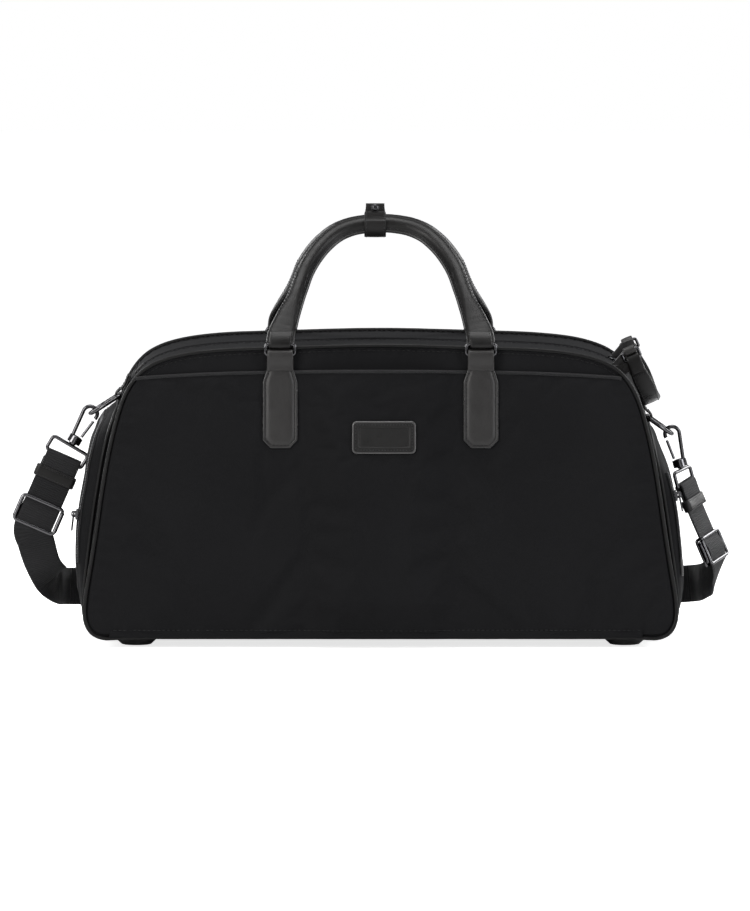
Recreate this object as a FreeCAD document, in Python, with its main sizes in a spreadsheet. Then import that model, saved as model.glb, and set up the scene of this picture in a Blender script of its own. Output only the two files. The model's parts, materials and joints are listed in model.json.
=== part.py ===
import FreeCAD, Part
import Sketcher
import math
import os

# Weekender bag with two carrying handles, a zipped top, end pockets, an end grab handle,
# a trolley sleeve and a shoulder strap.
# x runs along the bag (left is -x), z is up with the ground at z = 0, and the trolley
# sleeve is on the rear face, which looks towards -y.  Front and rear panels lean inwards.

V = FreeCAD.Vector
ROT = FreeCAD.Rotation
PL = FreeCAD.Placement
X_AXIS, Y_AXIS, Z_AXIS = V(1, 0, 0), V(0, 1, 0), V(0, 0, 1)

doc = FreeCAD.newDocument("WeekenderBag")
sizes = doc.addObject("Spreadsheet::Sheet", "Sizes")

# Driving dimensions in millimetres, angles in degrees.
SIZES = {
    # body of the bag
    "depth_floor": 230, "depth_crown": 184, "seam_floor": 8, "crown_height": 259.5,
    "panel_thickness": 3, "gusset_thickness": 3, "seam_gap": 0.12, "zip_gap_half": 7,
    "base_joint_height": 24, "top_joint_height": 229,
    # seam outline: half length of the bag and height at each station, from floor to crown
    "half_floor": 238, "high_floor": 9, "half_heel": 249, "high_heel": 13,
    "half_corner": 254.4, "high_corner": 22, "half_hip": 255.2, "high_hip": 36,
    "half_flank": 251, "high_flank": 65, "half_waist": 244, "high_waist": 110,
    "half_rib": 236, "high_rib": 160, "half_chest": 228, "high_chest": 195,
    "half_collar": 218, "high_collar": 222, "half_shoulder": 205, "high_shoulder": 238,
    "half_brow": 185, "high_brow": 248, "half_temple": 150, "high_temple": 254.5,
    "half_tab": 87, "high_tab": 257.5,
    # base board and piping
    "board_length": 440, "board_depth": 196, "board_thickness": 3,
    "piping_radius": 1.5, "piping_stand_off": 1.7,
    # trolley sleeve and patch
    "sleeve_thickness": 1.8, "sleeve_channel": 13, "sleeve_channel_half": 60,
    "sleeve_top": 231.5, "sleeve_foot": 1.5, "sleeve_side_inset": 4, "binding_height": 3.6,
    "patch_width": 55.4, "patch_height": 28.4, "patch_thickness": 2.2, "patch_radius": 4,
    "patch_offset": 3, "patch_up": 175.2, "insert_width": 43.4, "insert_height": 17.8,
    "insert_thickness": 0.6, "insert_radius": 2, "insert_play": 0.2, "recess_depth": 0.8,
    # handle tabs and rings
    "tab_spacing": 87, "tab_width": 30.4, "tab_neck": 23.4, "tab_foot": 164.6,
    "tab_shoulder": 225.4, "tab_head": 243.4, "tab_chamfer": 7, "tab_thickness": 3,
    "tab_stand_off": 2.05, "loop_radius": 3.2, "loop_bore": 1.9, "loop_length": 19,
    "loop_out": 4.4, "loop_up": 245.5,
    "ring_wire": 1.5, "ring_width": 25.6, "ring_height": 9.4, "ring_corner": 3,
    # handles
    "grip_radius": 7.8, "grip_flare": 15, "grip_flat": 3.6, "grip_top_height": 361,
    "grip_top_offset": 10.6, "grip_loop_wall": 0.4, "grip_bore_length": 60,
    "wrap_offset": -5, "wrap_width": 19, "wrap_wall": 1.7, "wrap_gap": 0.15,
    "wrap_tongue_top": 379, "wrap_tongue_thickness": 2, "wrap_tongue_corner": 3,
    "snap_radius": 3.2, "snap_height": 1.3, "snap_drop": 4.6,
    # main zipper, sliders and pulls
    "zip_arc_half": 200, "zip_arc_rise": 19.5, "tape_half_length": 196,
    "tape_half_width": 18, "tape_thickness": 1, "chain_half_width": 3.2, "chain_height": 2.4,
    "slider_length": 9, "slider_width": 8.6, "slider_plate": 1.7, "slider_lug": 3,
    "pull_wire": 0.8, "pull_length": 14, "pull_width": 9, "pull_corner": 2,
    "pull_pivot": 3.9, "pull_bore": 1.15, "top_pull_droop": 8,
    # end pockets
    "pocket_half_depth": 86, "pocket_zip_width": 6, "pocket_zip_height": 1.3,
    "pocket_zip_span": 75, "pocket_zip_lift": 0.55, "pocket_gap": 0.15,
    # end grab handle
    "end_handle_x": 219.5, "end_handle_height": 246, "end_handle_tilt": -23.5,
    "end_strap_width": 13, "end_strap_thickness": 2.6, "end_strap_span": 104,
    "end_strap_drop": 40, "end_strap_offset": 3.4,
    "end_ring_width": 15, "end_ring_height": 8, "end_ring_wire": 1.3, "end_ring_corner": 2,
    "end_anchor_thickness": 2.4, "end_anchor_inset": 5.2, "end_anchor_shift": -2,
    # shoulder strap hardware
    "anchor_radius": 3.8, "anchor_bore": 2.2, "anchor_length": 18, "anchor_gap": 0.3,
    "dee_width": 30, "dee_wire": 1.7, "dee_corner": 3,
    "hook_wire": 1.7, "hook_eye": 6.3, "hook_reach": 26, "hook_root": 1, "hook_root_x": 3.4,
    "hook_overlap": 18, "swivel_foot": -3.6, "swivel_height": 6.2,
    "gate_wire": 1.3, "gate_foot": 4.3, "gate_foot_x": 4, "gate_head_x": 5.9,
    "gate_head_drop": 4.4,
    "strap_loop_width": 35, "strap_loop_height": 13, "strap_loop_wire": 1.6,
    "strap_loop_corner": 3, "strap_loop_drop": 13.2, "right_strap_turn": 65,
    # webbing, keepers and adjusters
    "web_width": 33, "web_thickness": 2, "web_drop": 24, "web_front": 125.8,
    "web_past_adjuster": 14, "web_clearance": 0.7, "cuff_inner_corner": 0.5,
    "keeper_height": 13, "keeper_wall": 1.6, "keeper_corner": 1.2, "keeper_distance": 13,
    "adjuster_height": 23, "adjuster_wall": 2.2, "adjuster_corner": 1.5,
    # feet
    "foot_spacing": 212, "foot_depth_spacing": 82, "foot_top_radius": 21,
    "foot_bottom_radius": 11.5, "foot_height": 8.6, "rivet_radius": 5, "rivet_height": 2,
}
for row, (alias, value) in enumerate(SIZES.items(), 1):
    sizes.set("A%d" % row, alias)
    sizes.set("B%d" % row, str(value))
    sizes.setAlias("B%d" % row, alias)
doc.recompute()


def size(alias):
    return float(sizes.get(alias))


TOUCH_GAP = 0.1   # clearance between pieces laid on one another
BOARD_GAP = 0.2   # clearance under and over the base board
WALL = size("gusset_thickness")
FLOOR_TOP = size("high_floor") + WALL

pieces = {}   # label -> object to export


# ---------------------------------------------------------------- document objects
def add(kind, label, is_piece=False, **properties):
    made = doc.addObject(kind, label)
    made.Label = label
    for name, setting in properties.items():
        setattr(made, name, setting)
    if is_piece:
        pieces[label] = made
    return made


def body(label, placement=None, is_piece=True):
    return add("PartDesign::Body", label, is_piece, Placement=placement or PL())


def primitive(kind, label, placement, is_piece=False, **expressions):
    made = add("Part::" + kind, label, is_piece, Placement=placement)
    for name, expression in expressions.items():
        made.setExpression(name, expression)
    return made


def mirror(label, source, is_piece=True):
    """The front counterpart of a rear piece."""
    return add("Part::Mirroring", label, is_piece, Source=source, Normal=Y_AXIS)


def group(label, parts, is_piece=True):
    return add("Part::Compound", label, is_piece, Links=parts)


def frame(x_dir, y_dir, z_dir, origin):
    return PL(FreeCAD.Matrix(x_dir.x, y_dir.x, z_dir.x, origin.x,
                             x_dir.y, y_dir.y, z_dir.y, origin.y,
                             x_dir.z, y_dir.z, z_dir.z, origin.z,
                             0, 0, 0, 1))


# ---------------------------------------------------------------- sketches
def sketch(owner, plane, offset, name):
    """Sketch on plane XY, XZ or YZ; offset runs along +z, -y or +x respectively."""
    made = owner.newObject("Sketcher::SketchObject", owner.Name + "_" + name)
    support = next(o for o in owner.Origin.OriginFeatures if o.Role == plane + "_Plane")
    made.AttachmentSupport = [(support, "")]
    made.MapMode = "FlatFace"
    made.AttachmentOffset = PL(V(0, 0, offset), ROT())
    return made


def line(target, start, end):
    return target.addGeometry(Part.LineSegment(V(*start), V(*end)))


def polygon(target, points):
    count = len(points)
    edges = [line(target, points[i], points[(i + 1) % count]) for i in range(count)]
    for i in range(count):
        target.addConstraint(
            Sketcher.Constraint("Coincident", edges[i], 2, edges[(i + 1) % count], 1))
    return edges


def constrain(target, expression, *arguments):
    index = target.addConstraint(Sketcher.Constraint(*arguments))
    target.setExpression("Constraints[%d]" % index, expression)


def rectangle(target, width, height):
    """Rectangle about the origin; width and height are aliases."""
    x, y = size(width) / 2, size(height) / 2
    edges = polygon(target, [(-x, -y), (x, -y), (x, y), (-x, y)])
    for kind, first in (("Horizontal", 0), ("Vertical", 1)):
        target.addConstraint(Sketcher.Constraint(kind, edges[first]))
        target.addConstraint(Sketcher.Constraint(kind, edges[first + 2]))
    constrain(target, "Sizes." + width, "DistanceX", edges[0], 1, edges[0], 2, 2 * x)
    constrain(target, "Sizes." + height, "DistanceY", edges[1], 1, edges[1], 2, 2 * y)
    constrain(target, "-Sizes.%s / 2" % width, "DistanceX", -1, 1, edges[0], 1, -x)
    constrain(target, "-Sizes.%s / 2" % height, "DistanceY", -1, 1, edges[0], 1, -y)


def circle(target, x, y, radius):
    """Circle whose radius is an alias."""
    edge = target.addGeometry(Part.Circle(V(x, y, 0), Z_AXIS, size(radius)))
    constrain(target, "Sizes." + radius, "Radius", edge, size(radius))


def arc(target, x, y, radius, start, end):
    whole = Part.Circle(V(x, y, 0), Z_AXIS, radius)
    target.addGeometry(Part.ArcOfCircle(whole, math.radians(start), math.radians(end)))


def rounded(target, mid_x, mid_y, width, height, corner):
    """Rounded rectangle about (mid_x, mid_y), drawn from the bottom edge round."""
    left, right = mid_x - width / 2, mid_x + width / 2
    low, high = mid_y - height / 2, mid_y + height / 2
    line(target, (left + corner, low), (right - corner, low))
    arc(target, right - corner, low + corner, corner, -90, 0)
    line(target, (right, low + corner), (right, high - corner))
    arc(target, right - corner, high - corner, corner, 0, 90)
    line(target, (right - corner, high), (left + corner, high))
    arc(target, left + corner, high - corner, corner, 90, 180)
    line(target, (left, high - corner), (left, low + corner))
    arc(target, left + corner, low + corner, corner, 180, 270)


def curve_through(points):
    curve = Part.BSplineCurve()
    curve.interpolate(Points=[V(*p) for p in points])
    return curve


def spline_loop(target, *runs):
    """Closed outline: a spline through each run, joined to the next by a straight line."""
    for i, points in enumerate(runs):
        target.addGeometry(curve_through(points))
        line(target, points[-1], runs[(i + 1) % len(runs)][0])


# ---------------------------------------------------------------- features
def pad(owner, profile, length, symmetric=False):
    made = owner.newObject("PartDesign::Pad", owner.Name + "_Pad")
    made.Profile = profile
    made.setExpression("Length", length)
    if symmetric:
        made.SideType = "Symmetric"
    profile.Visibility = False


def cut_through(owner, profile):
    made = owner.newObject("PartDesign::Pocket", owner.Name + "_Pocket")
    made.Profile = profile
    made.Type = "ThroughAll"
    made.SideType = "Symmetric"


def cut_to(owner, profile, depth):
    made = owner.newObject("PartDesign::Pocket", owner.Name + "_Pocket")
    made.Profile = profile
    made.setExpression("Length", depth)


def pipe(owner, path, section_plane, centre, radius, offset=0.0):
    """Sweep a circle, drawn at centre on section_plane, along the path."""
    section = sketch(owner, section_plane, offset, "section")
    circle(section, *centre, radius)
    made = owner.newObject("PartDesign::AdditivePipe", owner.Name + "_Pipe")
    made.Profile = section
    made.Spine = path


def wire_ring(label, placement, kind, standing=True, is_piece=True):
    """Rectangular wire ring in its xz plane, sized by the aliases that start with kind.
    A standing ring has its bottom bar on the origin, any other is centred on it."""
    height = size(kind + "_height")
    middle = height / 2 if standing else 0.0
    made = body(label, placement, is_piece)
    path = sketch(made, "XZ", 0, "path")
    rounded(path, 0, middle, size(kind + "_width"), height, size(kind + "_corner"))
    pipe(made, path, "YZ", (0, middle - height / 2), kind + "_wire")
    return made


# ---------------------------------------------------------------- curve tools
def mirrored(half):
    """Complete a half outline whose last point lies on the axis of symmetry."""
    return half + [(-x, other) for x, other in reversed(half[:-1])]


def blend(start, end, fraction):
    return [a + fraction * (b - a) for a, b in zip(start, end)]


def parameter_at(curve, axis, target):
    """Parameter where a coordinate that rises along the curve reaches target."""
    low, high = curve.FirstParameter, curve.LastParameter
    for _ in range(60):
        middle = (low + high) / 2
        if curve.value(middle)[axis] < target:
            low = middle
        else:
            high = middle
    return low


def right_normals(points):
    """Unit normals to the right of travel, from the chord between each point's neighbours."""
    normals = []
    for i in range(len(points)):
        before, after = points[max(i - 1, 0)], points[min(i + 1, len(points) - 1)]
        across, along = after[0] - before[0], after[1] - before[1]
        length = math.hypot(across, along)
        normals.append((along / length, -across / length))
    return normals


def shifted(points, normals, distance):
    return [(x + distance * nx, z + distance * nz)
            for (x, z), (nx, nz) in zip(points, normals)]


# ---------------------------------------------------------------- outline of the seam
SEAM_STATIONS = ("floor", "heel", "corner", "hip", "flank", "waist", "rib", "chest",
                 "collar", "shoulder", "brow", "temple", "tab")
FLOOR_LEADS = (90, 40, 14)   # extra points on the floor line, in from its ends
SAMPLES = 2400


def seam_curve():
    half = [(lead - size("half_floor"), size("high_floor")) for lead in FLOOR_LEADS]
    half += [(-size("half_" + n), size("high_" + n)) for n in SEAM_STATIONS]
    return curve_through(mirrored(half + [(0.0, size("crown_height"))]))


# Sampled from the left end of the floor, up and over to its right end; normals point out.
curve = seam_curve()
first, last = [curve.parameter(V(sign * size("half_floor"), size("high_floor"), 0))
               for sign in (-1, 1)]
lengths, positions, normals = [0.0], [], []
for i in range(SAMPLES + 1):
    u = first + (last - first) * i / SAMPLES
    point, tangent = curve.value(u), curve.tangent(u)[0]
    positions.append((point.x, point.y))
    normals.append((-tangent.y, tangent.x))
    if i:
        step = math.hypot(positions[i][0] - positions[i - 1][0],
                          positions[i][1] - positions[i - 1][1])
        lengths.append(lengths[-1] + step)
SEAM_LENGTH = lengths[-1]


def seam_point(length, offset=0.0):
    """(x, z) at a length along the seam, moved outwards by offset."""
    low, high = 0, SAMPLES
    while high - low > 1:
        middle = (low + high) // 2
        if lengths[middle] <= length:
            low = middle
        else:
            high = middle
    fraction = (length - lengths[low]) / (lengths[high] - lengths[low])
    fraction = min(max(fraction, 0), 1)
    x, z = blend(positions[low], positions[high], fraction)
    nx, nz = blend(normals[low], normals[high], fraction)
    scale = offset / math.hypot(nx, nz)
    return (x + scale * nx, z + scale * nz)


def seam_length_at(height):
    """Length along the seam where its left side first reaches a height."""
    return next(length for length, (_, z) in zip(lengths, positions) if z >= height)


def seam_run(start, end, offset, count):
    return [seam_point(start + (end - start) * i / (count - 1), offset) for i in range(count)]


# ---------------------------------------------------------------- lean of the panels
SEAM_FLOOR = size("seam_floor")
LEAN = math.atan2((size("depth_floor") - size("depth_crown")) / 2,
                  size("crown_height") - SEAM_FLOOR)


def rear_frame(x=0.0):
    """Sloping rear panel: local -y points out of the bag, local z runs up the panel."""
    return PL(V(x, -size("depth_floor") / 2, SEAM_FLOOR), ROT(X_AXIS, -math.degrees(LEAN)))


def on_panel(points):
    """Turn (x, height) into (x, distance up the panel)."""
    return [(x, (z - SEAM_FLOOR) / math.cos(LEAN)) for x, z in points]


def trim_to_panels(owner):
    """Cut a cross-piece back to just inside both sloping panels."""
    inset = (size("panel_thickness") + size("seam_gap")) / math.cos(LEAN)
    low, high, outside = -30, 320, 260

    def half_depth(z):
        return size("depth_floor") / 2 - inset - (z - SEAM_FLOOR) * math.tan(LEAN)

    profile = sketch(owner, "YZ", 0, "wedge")
    for sign in (-1, 1):
        polygon(profile, [(sign * half_depth(low), low), (sign * half_depth(high), high),
                          (sign * outside, high), (sign * outside, low)])
    cut_through(owner, profile)


# ---------------------------------------------------------------- panels and gussets
def panels():
    rear = body("rear_panel", rear_frame())
    profile = sketch(rear, "XZ", -size("panel_thickness"), "outline")
    spline_loop(profile, on_panel(seam_run(0, SEAM_LENGTH, 0, 61)))
    pad(rear, profile, "Sizes.panel_thickness")
    mirror("front_panel", rear)


def pipings():
    rear = body("rear_piping", rear_frame())
    radius = size("piping_radius")
    path = sketch(rear, "XZ", -radius, "path")
    points = on_panel(seam_run(0, SEAM_LENGTH, size("piping_stand_off"), 61))
    line(path, points[-1], points[0])
    path.addGeometry(curve_through(points))
    pipe(rear, path, "YZ", (radius, points[0][1]), "piping_radius")
    mirror("front_piping", rear)


BASE_JOINT = seam_length_at(size("base_joint_height"))
TOP_JOINT = seam_length_at(size("top_joint_height"))


def gusset_profile(owner, start, end, offset=0.0, count=25):
    """Strip one gusset thick, lying inside a stretch of the seam."""
    profile = sketch(owner, "XZ", offset, "profile")
    spline_loop(profile, seam_run(start, end, 0, count), seam_run(end, start, -WALL, count))
    return profile


def end_panels():
    gap = size("seam_gap")
    low, high = BASE_JOINT + gap, TOP_JOINT - gap
    for label, start, end in (("left_end_panel", low, high),
                              ("right_end_panel", SEAM_LENGTH - high, SEAM_LENGTH - low)):
        panel = body(label)
        profile = gusset_profile(panel, start, end)
        pad(panel, profile, "Sizes.depth_floor", symmetric=True)
        trim_to_panels(panel)


def top_gussets():
    rear = body("top_gusset_rear")
    profile = gusset_profile(rear, TOP_JOINT, SEAM_LENGTH - TOP_JOINT,
                             size("zip_gap_half"), 41)
    profile.setExpression("AttachmentOffset.Base.z", "Sizes.zip_gap_half")
    pad(rear, profile, "Sizes.depth_floor / 2")
    trim_to_panels(rear)
    mirror("top_gusset_front", rear)


def base_panel():
    base = body("base_panel")
    profile = sketch(base, "XZ", 0, "profile")
    right_start = SEAM_LENGTH - BASE_JOINT
    spline_loop(profile,
                seam_run(BASE_JOINT, 0, 0, 9),
                seam_run(SEAM_LENGTH, right_start, 0, 9),
                seam_run(right_start, SEAM_LENGTH, -WALL, 9),
                seam_run(0, BASE_JOINT, -WALL, 9))
    pad(base, profile, "Sizes.depth_floor", symmetric=True)
    trim_to_panels(base)


def base_board():
    board = body("base_board")
    profile = sketch(board, "XY", FLOOR_TOP + BOARD_GAP, "outline")
    rectangle(profile, "board_length", "board_depth")
    pad(board, profile, "Sizes.board_thickness")


panels()
pipings()
end_panels()
top_gussets()
base_panel()
base_board()

# ---------------------------------------------------------------- trolley sleeve and patch
SLEEVE_REACH = 262                 # half width of the sleeve before its sides are trimmed
CHANNEL_FLARE = 9                  # outer spread of each sloping channel wall
INNER_OUT, INNER_IN = 6.6, 1.2     # inner corners of the channel, outside and inside its half width
SIDE_START, SIDE_TOP = 4, 252      # seam length and height between which the sides are trimmed
TRIM_REACH, TRIM_DROP = 300, 12    # how far the trimming outline goes out and down


def sleeve(label, foot, length):
    """Flat cloth with a raised channel down its middle, its sides trimmed along the seam."""
    cloth = body(label, rear_frame())
    half, back = size("sleeve_channel_half"), -TOUCH_GAP
    crest, thick = back - size("sleeve_channel"), size("sleeve_thickness")
    profile = sketch(cloth, "XY", foot, "profile")
    outer = mirrored([(-SLEEVE_REACH, back - thick), (-half - CHANNEL_FLARE, back - thick),
                      (-half, crest - thick), (0, crest - thick)])
    outer = [p for p in outer if p[0]]
    inner = [(SLEEVE_REACH, back), (half + INNER_OUT, back), (half - INNER_IN, crest),
             (-half + INNER_IN, crest), (-half - INNER_OUT, back), (-SLEEVE_REACH, back)]
    polygon(profile, outer + inner)
    pad(cloth, profile, length)

    trim = sketch(cloth, "XZ", 0, "sides")
    edge = on_panel(seam_run(SIDE_START, seam_length_at(SIDE_TOP),
                             -size("sleeve_side_inset"), 21))
    for sign in (-1, 1):
        points = [(-sign * x, z) for x, z in edge]
        trim.addGeometry(curve_through(points))
        low = points[0][1] - TRIM_DROP
        corners = [points[-1], (sign * TRIM_REACH, points[-1][1]), (sign * TRIM_REACH, low),
                   (points[0][0], low), points[0]]
        for start, end in zip(corners, corners[1:]):
            line(trim, start, end)
    cut_through(cloth, trim)


def patch():
    """Rounded patch on the sleeve channel, with an insert in a shallow recess."""
    inner_face = size("sleeve_channel") + size("sleeve_thickness") + 2 * TOUCH_GAP
    outer_face = inner_face + size("patch_thickness")
    height, play = size("patch_up"), size("insert_play")
    width, tall, corner = size("insert_width"), size("insert_height"), size("insert_radius")

    backing = body("id_patch_backing", rear_frame(size("patch_offset")))
    profile = sketch(backing, "XZ", inner_face, "outline")
    rounded(profile, 0, height, size("patch_width"), size("patch_height"),
            size("patch_radius"))
    pad(backing, profile, "Sizes.patch_thickness")
    profile = sketch(backing, "XZ", outer_face, "recess")
    rounded(profile, 0, height, width + 2 * play, tall + 2 * play, corner + play)
    cut_to(backing, profile, "Sizes.recess_depth")

    insert = body("id_patch_insert", rear_frame(size("patch_offset")))
    insert_gap = 0.05
    profile = sketch(insert, "XZ", outer_face - size("recess_depth") + insert_gap, "outline")
    rounded(profile, 0, height, width, tall, corner)
    pad(insert, profile, "Sizes.insert_thickness")


sleeve("trolley_sleeve", size("sleeve_foot"), "Sizes.sleeve_top - Sizes.sleeve_foot")
sleeve("sleeve_binding", size("sleeve_top") + TOUCH_GAP, "Sizes.binding_height")
patch()

# ---------------------------------------------------------------- handle tabs and rings
SIDES = (("left", -1), ("right", 1))
TAB_LOOP = rear_frame().multVec(V(0, -size("loop_out"), size("loop_up")))


def tab(label, x):
    """Strap tab on the rear panel with a bored loop along x at its head."""
    made = body(label, rear_frame(x))
    half, neck, chamfer = size("tab_width") / 2, size("tab_neck") / 2, size("tab_chamfer")
    foot, shoulder, head = size("tab_foot"), size("tab_shoulder"), size("tab_head")
    profile = sketch(made, "XZ", size("tab_stand_off"), "outline")
    polygon(profile, [(-half + chamfer, foot), (half - chamfer, foot), (half, foot + chamfer),
                      (half, shoulder), (neck, head), (-neck, head), (-half, shoulder),
                      (-half, foot + chamfer)])
    pad(made, profile, "Sizes.tab_thickness")
    profile = sketch(made, "YZ", 0, "loop")
    circle(profile, -size("loop_out"), size("loop_up"), "loop_radius")
    pad(made, profile, "Sizes.loop_length", symmetric=True)
    profile = sketch(made, "YZ", 0, "bore")
    circle(profile, -size("loop_out"), size("loop_up"), "loop_bore")
    cut_through(made, profile)
    return made


rings = []
for side, sign in SIDES:
    tab_x = sign * size("tab_spacing")
    mirror("front_tab_" + side, tab("rear_tab_" + side, tab_x))
    ring_place = PL(V(tab_x, TAB_LOOP.y, TAB_LOOP.z), ROT())
    rings.append(wire_ring("rear_ring_" + side, ring_place, "ring", is_piece=False))
group("rear_handle_rings", rings)
group("front_handle_rings", [mirror(r.Name + "_front", r, is_piece=False) for r in rings])

# ---------------------------------------------------------------- handles
# Left half of the handle's centre line: (x, fraction of the rise from ring to top).
GRIP_LINE = [
    (-87.0, 0.015), (-86.2, 0.08), (-83.6, 0.16), (-80.2, 0.25), (-76.4, 0.34),
    (-72.2, 0.45), (-66.5, 0.60), (-59.6, 0.715), (-50.8, 0.82), (-39.4, 0.912),
    (-26.4, 0.968), (-13.0, 0.993), (0.0, 1.0),
]
FLARE_END = 0.42    # fraction of the rise where the flat flared end has become round
GRIP_STEPS = 26
grip_foot = V(0, TAB_LOOP.y, TAB_LOOP.z + size("ring_height"))
grip_top = V(0, -size("grip_top_offset"), size("grip_top_height"))
grip_rise = grip_top - grip_foot
grip_line = curve_through([V(x, 0, 0) + grip_foot + grip_rise * fraction
                           for x, fraction in mirrored(GRIP_LINE)])
grip_normal = X_AXIS.cross(grip_rise)
grip_normal.normalize()


def grip_section(label, u, extra):
    """Ellipse square to the centre line, grown by extra."""
    point, tangent = grip_line.value(u), grip_line.tangent(u)[0]
    across = grip_normal.cross(tangent)
    across.normalize()
    t = min(max((point.z - grip_foot.z) / grip_rise.z / FLARE_END, 0.0), 1.0)
    roundness = t * t * (3 - 2 * t)
    width, thickness = [size(end) + (size("grip_radius") - size(end)) * roundness
                        for end in ("grip_flare", "grip_flat")]
    # max guards against the major radius rounding below the minor where both are equal
    return add("Part::Ellipse", label, MajorRadius=max(width, thickness) + extra,
               MinorRadius=thickness + extra,
               Placement=frame(across, grip_normal, tangent, point))


def grip_loft(prefix, parameters, extra):
    sections = [grip_section("%s_section_%d" % (prefix, i), u, extra)
                for i, u in enumerate(parameters)]
    return add("Part::Loft", prefix + "_loft", Sections=sections, Solid=True, Ruled=False)


def end_cylinders(prefix, radius, length):
    """A cylinder along x at each foot of the handle; length is an alias."""
    return [primitive("Cylinder", prefix + side,
                      PL(V(sign * size("tab_spacing") - size(length) / 2,
                           grip_foot.y, grip_foot.z), ROT(Y_AXIS, 90)),
                      Radius=radius, Height="Sizes." + length)
            for side, sign in SIDES]


def handles():
    first, last = grip_line.FirstParameter, grip_line.LastParameter
    tube = grip_loft("grip", [first + (last - first) * i / GRIP_STEPS
                              for i in range(GRIP_STEPS + 1)], 0.0)
    loops = end_cylinders("grip_loop_", "Sizes.loop_radius + Sizes.grip_loop_wall",
                          "loop_length")
    fused = add("Part::MultiFuse", "grip_fused", Shapes=[tube] + loops)
    bores = group("grip_bores", end_cylinders("grip_bore_", "Sizes.loop_bore",
                                              "grip_bore_length"), is_piece=False)
    rear = add("Part::Cut", "rear_handle", True, Base=fused, Tool=bores)
    mirror("front_handle", rear)


def wrap_parameters(width, steps):
    start = size("wrap_offset") - width / 2
    return [parameter_at(grip_line, 0, start + width * i / steps) for i in range(steps + 1)]


def wraps():
    """Band round the top of each handle with an upright tongue."""
    core_overhang, tongue_inset, tongue_sink, tongue_y = 4, 1, 1, -0.6
    width, gap = size("wrap_width"), size("wrap_gap")
    band = grip_loft("wrap_band", wrap_parameters(width, 6), size("wrap_wall") + gap)
    core = grip_loft("wrap_core", wrap_parameters(width + 2 * core_overhang, 8), gap)
    corner = V(size("wrap_offset") - width / 2 + tongue_inset,
               tongue_y - size("wrap_tongue_thickness"), grip_top.z - tongue_sink)
    tongue = primitive("Box", "wrap_tongue", PL(corner, ROT()),
                       Length="Sizes.wrap_width - %r" % (2 * tongue_inset),
                       Width="Sizes.wrap_tongue_thickness",
                       Height="Sizes.wrap_tongue_top - Sizes.grip_top_height + %r"
                              % tongue_sink)
    tongue_rounded = add("Part::Fillet", "wrap_tongue_rounded", Base=tongue)
    doc.recompute()
    # round the two top edges that run along y
    radius = size("wrap_tongue_corner")
    picked = []
    for i, edge in enumerate(tongue.Shape.Edges, 1):
        start, end = edge.Vertexes[0], edge.Vertexes[-1]
        along_y = abs(start.X - end.X) < 1e-6 and abs(start.Z - end.Z) < 1e-6
        if along_y and edge.CenterOfMass.z > grip_top.z + 10:
            picked.append((i, radius, radius))
    tongue_rounded.Edges = picked
    solid = add("Part::MultiFuse", "wrap_solid", Shapes=[band, tongue_rounded])
    rear = add("Part::Cut", "rear_handle_wrap", True, Base=solid, Tool=core)
    mirror("front_handle_wrap", rear)


def snap_caps():
    snap_y = -0.7
    centre = V(size("wrap_offset"), snap_y - size("wrap_tongue_thickness"),
               size("wrap_tongue_top") - size("snap_drop"))
    rear = primitive("Cylinder", "rear_snap_cap", PL(centre, ROT(X_AXIS, 90)), True,
                     Radius="Sizes.snap_radius", Height="Sizes.snap_height")
    mirror("front_snap_cap", rear)


handles()
wraps()
snap_caps()

# ---------------------------------------------------------------- main zipper
ARC_HALF, ARC_RISE = size("zip_arc_half"), size("zip_arc_rise")
ARC_RADIUS = (ARC_HALF ** 2 + ARC_RISE ** 2) / (2 * ARC_RISE)
ARC_CENTRE = size("crown_height") - ARC_RADIUS
TAPE_GAP = 0.5    # tape below the gusset
SLIDER_GAP = 0.3
# (x, z) outline of the lug on a slider
SLIDER_LUG = [(-3, 1.5), (3, 1.5), (2.4, 5.4), (1.2, 6.0), (-1.2, 6.0), (-2.4, 5.4)]


def arc_band(label, inner, outer, width):
    band = body(label)
    profile = sketch(band, "XZ", 0, "profile")
    half_angle = math.degrees(math.asin(size("tape_half_length") / ARC_RADIUS))
    for radius in (outer, inner):
        arc(profile, 0, ARC_CENTRE, radius, 90 - half_angle, 90 + half_angle)
    for sign in (-1, 1):
        angle = math.radians(90 + sign * half_angle)
        line(profile, *[(r * math.cos(angle), ARC_CENTRE + r * math.sin(angle))
                        for r in (inner, outer)])
    pad(band, profile, width, symmetric=True)


def slider_and_pull(prefix, placement, droop):
    """Slider on local z = 0 with a wire pull along local x, tipped down by droop."""
    slider = body(prefix + "_slider", placement)
    profile = sketch(slider, "XY", SLIDER_GAP, "plate")
    rectangle(profile, "slider_length", "slider_width")
    pad(slider, profile, "Sizes.slider_plate")
    profile = sketch(slider, "XZ", 0, "lug")
    polygon(profile, SLIDER_LUG)
    pad(slider, profile, "Sizes.slider_lug", symmetric=True)
    profile = sketch(slider, "XZ", 0, "bore")
    circle(profile, 0, size("pull_pivot"), "pull_bore")
    cut_through(slider, profile)

    pivot = PL(V(0, 0, size("pull_pivot")), ROT(Y_AXIS, droop))
    pull = body(prefix + "_pull", placement.multiply(pivot))
    path = sketch(pull, "XY", 0, "path")
    length = size("pull_length")
    rounded(path, length / 2, 0, length, size("pull_width"), size("pull_corner"))
    pipe(pull, path, "XZ", (0, 0), "pull_wire")


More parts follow.
